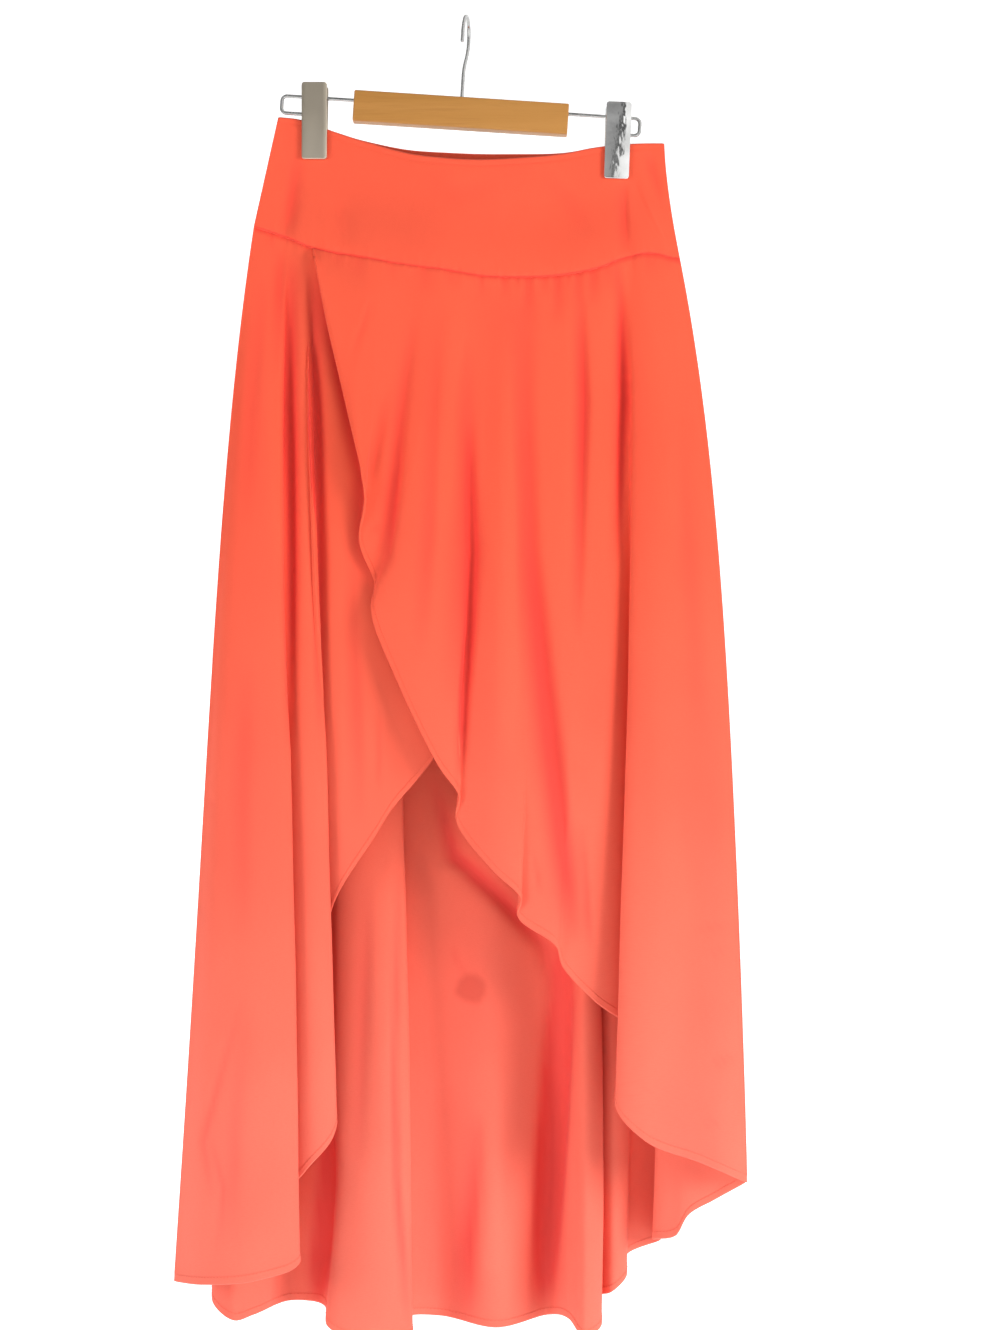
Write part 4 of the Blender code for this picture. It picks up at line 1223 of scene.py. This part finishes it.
def plate_out(z):
    """Distance of a clip plate's middle from the clip's centre plane at a height."""
    if z > 0:
        return CLIP_PIVOT_OUT + (CLIP_TOP_OUT - CLIP_PIVOT_OUT) * z / CLIP_RISE
    closing = smooth_step(-z / CLIP_JAW_START)
    return CLIP_PIVOT_OUT + (CLIP_JAW_OUT - CLIP_PIVOT_OUT) * closing


def clip_plate(name, clip, side, ear_x, finish):
    """Sprung plate with rounded corners, a turned-in rim and two ears that turn on the wire."""
    hanger = bpy.context.scene.skirt_hanger
    height = CLIP_RISE + CLIP_DROP
    deselect()
    bpy.ops.mesh.primitive_grid_add(x_subdivisions=6, y_subdivisions=30, size=1.0, rotation=(math.pi / 2, 0, 0))
    plate = bpy.context.object
    plate.name = name
    plate.scale = (CLIP_WIDTH * MM, height * MM, 1.0)
    plate.location.z = (CLIP_RISE - height / 2) * MM
    bpy.ops.object.transform_apply(location=True, rotation=True, scale=True)
    rows = sorted({round(v.co.z / MM, 3) for v in plate.data.vertices})
    for row in rows:
        select_parts(plate, "VERT", lambda middle, point: abs(middle.z - row) < 0.01)
        bpy.ops.transform.translate(value=(0, side * plate_out(row) * MM, 0))
    corner = CLIP_WIDTH / 2 - 0.01
    ends = (rows[0] + 0.01, rows[-1] - 0.01)
    select_parts(plate, "VERT", lambda middle, point: abs(middle.x) > corner
                 and (middle.z < ends[0] or middle.z > ends[1]))
    bpy.ops.mesh.bevel(offset=CLIP_CORNER * MM, segments=4, affect="VERTICES", clamp_overlap=False)
    select_parts(plate, "EDGE", lambda middle, edge: edge.is_boundary)
    bpy.ops.mesh.extrude_edges_move(TRANSFORM_OT_translate={"value": (0, -side * hanger.plate_rim, 0)})
    select_parts(plate, "EDGE", lambda middle, edge: len(edge.link_faces) == 2
                 and edge.calc_face_angle() > math.radians(60))
    bpy.ops.mesh.bevel(offset=hanger.plate_bend, segments=4, profile=0.5, affect="EDGES", clamp_overlap=True)
    bpy.ops.mesh.select_all(action="SELECT")
    bpy.ops.mesh.normals_make_consistent(inside=False)
    bpy.ops.object.mode_set(mode="OBJECT")
    wall = plate.modifiers.new("sheet_metal", "SOLIDIFY")
    wall.thickness = hanger.plate_wall
    wall.offset = 0.0
    apply_all(plate)
    ears = []
    for ear_side in (-1, 1):
        tip = -side * EAR_REACH
        ends = sorted((side * (CLIP_PIVOT_OUT - 0.2), tip))
        size = (EAR_WALL, ends[1] - ends[0], EAR_HEIGHT)
        ear = new_box(f"{name}_ear", size, (ear_side * ear_x, sum(ends) / 2, 0))
        select_parts(ear, "EDGE", lambda middle, edge: abs(middle.y - tip) < 0.01 and abs(middle.z) > 4)
        bpy.ops.mesh.bevel(offset=EAR_ROUNDING * MM, segments=6, profile=0.5, affect="EDGES", clamp_overlap=True)
        bpy.ops.object.mode_set(mode="OBJECT")
        cut(ear, new_rod("pivot_hole", EAR_HOLE, 6, (ear_side * ear_x, 0, 0), (0, math.pi / 2, 0)))
        ears.append(ear)
    join(plate, ears)
    edge = plate.modifiers.new("soft_edges", "BEVEL")
    edge.width = SOFT_EDGE * MM
    edge.segments = 2
    edge.limit_method = "ANGLE"
    edge.angle_limit = math.radians(50)
    apply_all(plate)
    put(plate, clip_matrix(clip))
    smooth_by_angle(plate, 35)
    hand_over(plate, finish)
    return plate


def clip_pad(name, clip, side, finish):
    """Soft pad inside a jaw, with low ribs that grip the cloth."""
    inner = BAND_WALL + SEAM_GAP * 1.5
    centre = (0, side * (inner + PAD_WALL / 2), -CLIP_DROP + PAD_FOOT + PAD_HEIGHT / 2)
    pad = new_box(name, (PAD_WIDTH, PAD_WALL, PAD_HEIGHT), centre)
    outer = side * (inner + PAD_WALL)
    select_parts(pad, "EDGE", lambda middle, edge: abs(middle.x) < 0.01)
    bpy.ops.mesh.bevel(offset=PAD_ROUNDING * MM, segments=2, affect="EDGES", clamp_overlap=True)
    for k in range(1, PAD_STEPS):
        bpy.ops.mesh.select_all(action="SELECT")
        level = (-CLIP_DROP + PAD_FOOT + PAD_HEIGHT * k / PAD_STEPS) * MM
        bpy.ops.mesh.bisect(plane_co=(0, 0, level), plane_no=(0, 0, 1))
    select_parts(pad, "EDGE", lambda middle, edge: abs(middle.x) < 0.01 and abs(middle.y - outer) < 0.01
                 and round((middle.z + CLIP_DROP - PAD_FOOT) * PAD_STEPS / PAD_HEIGHT) % 2 == 1)
    bpy.ops.transform.translate(value=(0, side * PAD_RIB * MM, 0))
    bpy.ops.object.mode_set(mode="OBJECT")
    put(pad, clip_matrix(clip))
    smooth_by_angle(pad, 30)
    hand_over(pad, finish)
    return pad


def clip_spring(name, clip, finish):
    """Coil spring round the wire, with a leg against each plate."""
    per_turn = 28
    steps = SPRING_TURNS * per_turn + per_turn // 2
    points = [Vector((-SPRING_HALF_LENGTH, -SPRING_LEG_OUT, -SPRING_LEG_DROP))]
    for i in range(steps + 1):
        angle = math.pi + 2 * math.pi * i / per_turn
        x = -SPRING_HALF_LENGTH + 2 * SPRING_HALF_LENGTH * i / steps
        points.append(Vector((x, SPRING_RADIUS * math.cos(angle), -SPRING_RADIUS * math.sin(angle))))
    points.append(Vector((SPRING_HALF_LENGTH, SPRING_LEG_OUT, -SPRING_LEG_DROP)))
    return new_wire(name, points, SPRING_WIRE, 10, clip_matrix(clip), finish)


def make_clips():
    """Both spring clips, closed on the waistband."""
    steels = {
        "brushed": finish_once("brushed_plate", brushed_finish),
        "mirror": finish_once("mirror_plate", mirror_finish),
    }
    wire = finish_once("plated_wire", chrome_finish)
    plastic = finish_once("clip_pad_plastic", pad_finish)
    for clip in CLIPS:
        steel = steels[clip.finish]
        for face, side, ear_x in (("front", FRONT, FRONT_EAR_X), ("back", BACK, BACK_EAR_X)):
            plate = clip_plate(f"clip_{clip.name}_{face}_steel", clip, side, ear_x, steel)
            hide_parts(f"clip_{clip.name}_{face}_plate")
            pad = clip_pad(f"clip_{clip.name}_{face}_grip", clip, side, plastic)
            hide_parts(f"clip_{clip.name}_{face}_pad")
        spring = clip_spring(f"clip_{clip.name}_coil", clip, wire)
        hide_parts(f"clip_{clip.name}_spring")


def make_panel(name, finish):
    """One skirt panel as a thin shell with its turned hem and its row of hem stitches."""
    panel = PANELS[name]
    grid, wall, fold, stitch_row = panel_grid(panel)
    cloth = cloth_shell(f"{name}_cloth", grid, wall, fold, finish)
    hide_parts(name)
    normals = grid_normals(grid)
    lines = []
    for side in (1, -1):
        surface = grid + side * normals * wall[..., None] / 2
        lines.append((surface[stitch_row, 2:-2], side * normals[stitch_row, 2:-2]))
    thread = stitches(f"{name}_hem_stitches", lines, finish_once("coral_thread", thread_finish))


def length_setting(name, description, default):
    """Property that holds a length in metres."""
    return FloatProperty(name=name, description=description, default=default, unit="LENGTH")


def colour_setting(name, description, default):
    """Property that holds a colour."""
    return FloatVectorProperty(name=name, description=description, default=default, subtype="COLOR")


class SkirtCloth(bpy.types.PropertyGroup):
    """Sizes and colours of the cloth."""

    shell: length_setting("Cloth", "Thickness of the panels", 0.0009)
    hem_wall: length_setting("Hem wall", "Thickness of the turned hem", 0.0016)
    hem_width: length_setting("Hem width", "Depth of the turned hem", 0.006)
    seam_tuck: length_setting("Seam tuck", "Cloth of the panels that lies inside the waist seam", 0.0016)
    band_wall: length_setting("Band wall", "Thickness of a doubled waistband layer", 0.0018)
    band_seam_wall: length_setting("Band seam wall", "Thickness of the waistband at the waist seam", 0.0019)
    edge_line: length_setting("Edge line", "Distance of the fine line below the top edge", 0.0042)
    band_rows: IntProperty(name="Band rows", description="Rows of cloth down the waistband", default=44)
    band_columns: IntProperty(name="Band columns", description="Columns of cloth across it", default=260)
    stitch_length: length_setting("Stitch", "Length of a stitch", 0.0024)
    stitch_pitch: length_setting("Stitch pitch", "Distance between stitches", 0.0032)
    thread: length_setting("Thread", "Thickness of the thread", 0.00032)
    crepe_height: FloatProperty(
        name="Crepe", description="Height of the crepe's grain", default=0.00012, unit="LENGTH", precision=6)
    # The cloth runs from coral near the waist to a paler colour near the hem, which is painted light
    colour_high: colour_setting("Coral", "Cloth colour near the waist", (0.80, 0.096, 0.046))
    colour_low_painted_light: colour_setting("Pale coral", "Cloth colour near the hem", (0.88, 0.176, 0.120))
    # Painted shade in the folds, near the waist and near the hem, and the crease depth at which it is full
    painted_fold_shade_high: colour_setting("Fold", "Cloth colour deep in the folds near the waist", (0.74, 0.045, 0.032))
    painted_fold_shade_low: colour_setting("Low fold", "Cloth colour deep in the folds near the hem", (0.80, 0.070, 0.061))
    painted_shade_depth: length_setting("Deep fold", "Depth at which a fold shows its full colour", 0.004)
    colour_deep: colour_setting("Deep coral", "Colour of the more deeply dyed threads", (0.70, 0.065, 0.035))
    round_mark: colour_setting("Round mark", "Colour of the round mark on the back panel", (0.55, 0.06, 0.04))
    # Painted shade for the inside of the back waistband, with its deeper threads
    inside: colour_setting("Inside", "Colour of the waistband's shaded inside", (0.52, 0.062, 0.030))
    inside_deep: colour_setting("Deep inside", "Colour of its deeper threads", (0.42, 0.046, 0.024))
    sheen_tint: colour_setting("Sheen", "Colour of the nap's sheen", (1.0, 0.72, 0.62))


class SkirtHanger(bpy.types.PropertyGroup):
    """Sizes and colours of the hanger."""

    bar_rounding: length_setting("Bar rounding", "Radius of the bar's edges", 0.0026)
    plate_wall: length_setting("Plate", "Thickness of a clip plate", 0.0008)
    plate_rim: length_setting("Rim", "Depth of a plate's turned rim", 0.0021)
    plate_bend: length_setting("Bend", "Radius of the rim's bend", 0.0017)
    wood: colour_setting("Wood", "Colour of the varnished wood", (0.40, 0.182, 0.042))
    wood_light: colour_setting("Light wood", "Colour of its paler bands", (0.43, 0.200, 0.050))
    wood_dark: colour_setting("Dark grain", "Colour of its grain lines", (0.30, 0.125, 0.028))
    chrome: colour_setting("Chrome", "Colour of bright plate", (0.80, 0.80, 0.79))
    chrome_dull: colour_setting("Dull chrome", "Colour of dulled plate", (0.60, 0.60, 0.59))
    wire: colour_setting("Wire", "Colour of the plated wire", (0.50, 0.50, 0.49))
    wire_dull: colour_setting("Dull wire", "Colour of its dulled specks", (0.36, 0.36, 0.35))
    nickel: colour_setting("Nickel", "Colour of brushed plate", (0.70, 0.615, 0.50))
    nickel_dull: colour_setting("Dull nickel", "Colour of cloudy brushed plate", (0.52, 0.455, 0.36))
    pad: colour_setting("Pad", "Colour of the soft pads", (0.72, 0.70, 0.66))
    pad_worn: colour_setting("Worn pad", "Colour of the pads' matt skin", (0.62, 0.60, 0.56))


class SkirtStage(bpy.types.PropertyGroup):
    """Camera, lights and paper behind the skirt."""

    camera_x: length_setting("Camera X", "Camera's place across", 0.02706)
    camera_z: length_setting("Camera Z", "Camera's height", -0.52972)
    camera_distance: length_setting("Distance", "Camera's distance from the skirt", 1.7)
    frame_height: length_setting("Frame height", "Height of the view at the skirt", 1.0906)
    floor_z: length_setting("Floor", "Height of the floor", -1.38)
    paper_glow: FloatProperty(name="Paper glow", description="Light that the white paper adds", default=0.45)
    key_power: FloatProperty(name="Key", description="Power of the soft light at the right", default=54.0)
    fill_power: FloatProperty(name="Fill", description="Power of the soft light at the left", default=32.0)
    low_power: FloatProperty(name="Low", description="Power of the low front light", default=8.0)
    room_tint: colour_setting("Room tint", "Colour of the light all round", (0.92, 0.96, 1.0))
    window_light: FloatProperty(
        name="Window", description="Brightness of the window that the metal mirrors", default=1.3)
    room_light: FloatProperty(name="Room", description="Strength of the light all round", default=0.24)


class SKIRT_OT_make_waistband(bpy.types.Operator):
    """Make both layers of the wide waistband."""

    bl_idname = "skirt.make_waistband"
    bl_label = "Waistband"

    def execute(self, context):
        finish = finish_once("coral_crepe", crepe_finish, "coral_crepe")
        for name, side in (("waistband_front", FRONT), ("waistband_back", BACK)):
            grid, wall, fold = band_grid(side)
            band = cloth_shell(f"{name}_cloth", grid, wall, fold, finish)
            # The back layer's inside, seen over the front, gets painted shade
            if side == BACK:
                line_inside(band, grid, finish_once("coral_crepe_inside", painted_shade_inside_finish))
            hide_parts(name)
        return {"FINISHED"}


class SKIRT_OT_make_front(bpy.types.Operator):
    """Make the two crossed front panels."""

    bl_idname = "skirt.make_front"
    bl_label = "Front panels"

    def execute(self, context):
        finish = finish_once("coral_crepe", crepe_finish, "coral_crepe")
        make_panel("front_overlap", finish)
        make_panel("front_underlap", finish)
        return {"FINISHED"}


class SKIRT_OT_make_back(bpy.types.Operator):
    """Make the long back panel with its faint round mark."""

    bl_idname = "skirt.make_back"
    bl_label = "Back panel"

    def execute(self, context):
        mark = (0.0025, 0.038, -0.801)
        make_panel("back_panel", finish_once("coral_crepe_marked", crepe_finish, "coral_crepe_marked", mark))
        return {"FINISHED"}


class SKIRT_OT_make_side_seams(bpy.types.Operator):
    """Make the sewn ridge down each side."""

    bl_idname = "skirt.make_side_seams"
    bl_label = "Side seams"

    def execute(self, context):
        finish = finish_once("coral_crepe", crepe_finish, "coral_crepe")
        for name, side in (("side_seam_left", -1), ("side_seam_right", 1)):
            side_seam(name, side, finish)
        return {"FINISHED"}


class SKIRT_OT_make_bar(bpy.types.Operator):
    """Make the wooden bar."""

    bl_idname = "skirt.make_bar"
    bl_label = "Bar"

    def execute(self, context):
        make_bar(finish_once("varnished_bar", wood_finish))
        return {"FINISHED"}


class SKIRT_OT_make_wires(bpy.types.Operator):
    """Make the hook and the two end wires."""

    bl_idname = "skirt.make_wires"
    bl_label = "Hook and end wires"

    def execute(self, context):
        make_wires(finish_once("plated_wire", chrome_finish))
        return {"FINISHED"}


class SKIRT_OT_make_clips(bpy.types.Operator):
    """Make the two spring clips."""

    bl_idname = "skirt.make_clips"
    bl_label = "Clips"

    def execute(self, context):
        make_clips()
        return {"FINISHED"}


def area_light(name, place, aim, size, power):
    """Soft square light that the camera doesn't see."""
    lamp = bpy.data.lights.new(name, "AREA")
    lamp.shape = "SQUARE"
    lamp.size = size
    lamp.energy = power
    made = bpy.data.objects.new(name, lamp)
    made.location = place
    made.rotation_euler = (Vector(aim) - Vector(place)).to_track_quat("-Z", "Y").to_euler()
    made.visible_camera = False
    made.visible_glossy = False
    bpy.context.scene.collection.objects.link(made)


def make_camera(stage):
    """Level camera at the photograph's viewing angle."""
    lens = bpy.data.cameras.new("camera")
    lens.sensor_fit = "VERTICAL"
    lens.sensor_height = 24.0
    lens.lens = 24.0 * stage.camera_distance / stage.frame_height
    lens.clip_start, lens.clip_end = 0.05, 30.0
    made = bpy.data.objects.new("camera", lens)
    made.location = (stage.camera_x, -stage.camera_distance, stage.camera_z)
    made.rotation_euler = (math.pi / 2, 0, 0)
    bpy.context.scene.collection.objects.link(made)
    bpy.context.scene.camera = made


def make_paper(stage):
    """Pale floor that curves up into a plain backdrop."""
    deselect()
    bpy.ops.mesh.primitive_plane_add(size=1.0, location=(0, -0.2, stage.floor_z))
    paper = bpy.context.object
    paper.name = "paper_floor"
    paper.scale = (9.0, 6.4, 1.0)
    bpy.ops.object.transform_apply(location=True, rotation=True, scale=True)
    select_parts(paper, "EDGE", lambda middle, edge: middle.y > 2900)
    bpy.ops.mesh.extrude_edges_move(TRANSFORM_OT_translate={"value": (0, 0, 4.2)})
    select_parts(paper, "EDGE", lambda middle, edge: len(edge.link_faces) == 2)
    bpy.ops.mesh.bevel(offset=1.2, segments=18, profile=0.5, affect="EDGES", clamp_overlap=True)
    bpy.ops.object.mode_set(mode="OBJECT")
    smooth_by_angle(paper, 30)
    paper.data.materials.append(finish_once("white_paper", stage_finish))


def make_room(stage):
    """Even light all round, plain white behind the skirt, and a grey room with a window for the metal."""
    world = bpy.data.worlds.new("studio")
    bpy.context.scene.world = world
    world.use_nodes = True
    room = Nodes(world.node_tree)
    direction = room.node("ShaderNodeTexCoord", output="Generated")
    across, up = room.axis(direction, "X"), room.axis(direction, "Z")
    dim = 0.12 + 0.32 * room.span(across, 0.02, -0.06) + 0.10 * room.span(up, 0.02, 0.24)
    window = stage.window_light * room.span(across, 0.05, 0.10)
    even = room.node("ShaderNodeBackground", inputs={"Color": solid(stage.room_tint), "Strength": stage.room_light})
    seen = room.node("ShaderNodeBackground", inputs={"Strength": dim + window})
    white = room.node("ShaderNodeBackground", inputs={"Color": solid((1.0, 1.0, 1.0)), "Strength": 1.0})
    glossy = room.node("ShaderNodeLightPath", output="Is Glossy Ray")
    camera = room.node("ShaderNodeLightPath", output="Is Camera Ray")
    both = room.node("ShaderNodeMixShader", inputs={0: glossy, 1: even, 2: seen})
    whole = room.node("ShaderNodeMixShader", inputs={0: camera, 1: both, 2: white})
    room.feed(room.tree.nodes["World Output"].inputs["Surface"], whole)


class SKIRT_OT_make_stage(bpy.types.Operator):
    """Make the camera, the lights, the floor and the backdrop."""

    bl_idname = "skirt.make_stage"
    bl_label = "Stage"

    def execute(self, context):
        stage = context.scene.skirt_stage
        make_camera(stage)
        make_paper(stage)
        make_room(stage)
        middle = (0, 0, -0.6)
        area_light("key_light", (2.1, -1.45, -0.2), middle, 1.0, stage.key_power)
        area_light("fill_light", (-2.1, -1.45, -0.3), middle, 1.0, stage.fill_power)
        area_light("low_light", (0.2, -2.4, -1.1), (0, 0, -0.85), 1.4, stage.low_power)
        area_light("rear_light", (-0.6, 2.6, 0.4), middle, 2.0, stage.fill_power)
        context.scene.view_settings.view_transform = "Standard"
        return {"FINISHED"}


OPERATORS = (
    SKIRT_OT_make_stage,
    SKIRT_OT_make_waistband,
    SKIRT_OT_make_front,
    SKIRT_OT_make_back,
    SKIRT_OT_make_side_seams,
    SKIRT_OT_make_bar,
    SKIRT_OT_make_wires,
    SKIRT_OT_make_clips,
)


class SKIRT_PT_panel(bpy.types.Panel):
    """List of the sizes and of the operators that make the skirt."""

    bl_idname = "SKIRT_PT_panel"
    bl_label = "High-low skirt"
    bl_space_type = "VIEW_3D"
    bl_region_type = "UI"
    bl_category = "Skirt"

    def draw(self, context):
        for group in (context.scene.skirt_cloth, context.scene.skirt_hanger, context.scene.skirt_stage):
            box = self.layout.box()
            for name in group.bl_rna.properties.keys():
                if name not in ("rna_type", "name"):
                    box.prop(group, name)
        for operator in OPERATORS:
            self.layout.operator(operator.bl_idname)


CLASSES = (SkirtCloth, SkirtHanger, SkirtStage, *OPERATORS, SKIRT_PT_panel)


def register():
    for made in CLASSES:
        bpy.utils.register_class(made)
    bpy.types.Scene.skirt_cloth = PointerProperty(type=SkirtCloth)
    bpy.types.Scene.skirt_hanger = PointerProperty(type=SkirtHanger)
    bpy.types.Scene.skirt_stage = PointerProperty(type=SkirtStage)


def unregister():
    del bpy.types.Scene.skirt_stage
    del bpy.types.Scene.skirt_hanger
    del bpy.types.Scene.skirt_cloth
    for made in reversed(CLASSES):
        bpy.utils.unregister_class(made)


def main():
    register()
    for name in ("stage", "waistband", "front", "back", "side_seams", "bar", "wires", "clips"):
        getattr(bpy.ops.skirt, f"make_{name}")()


if __name__ == "__main__":
    main()
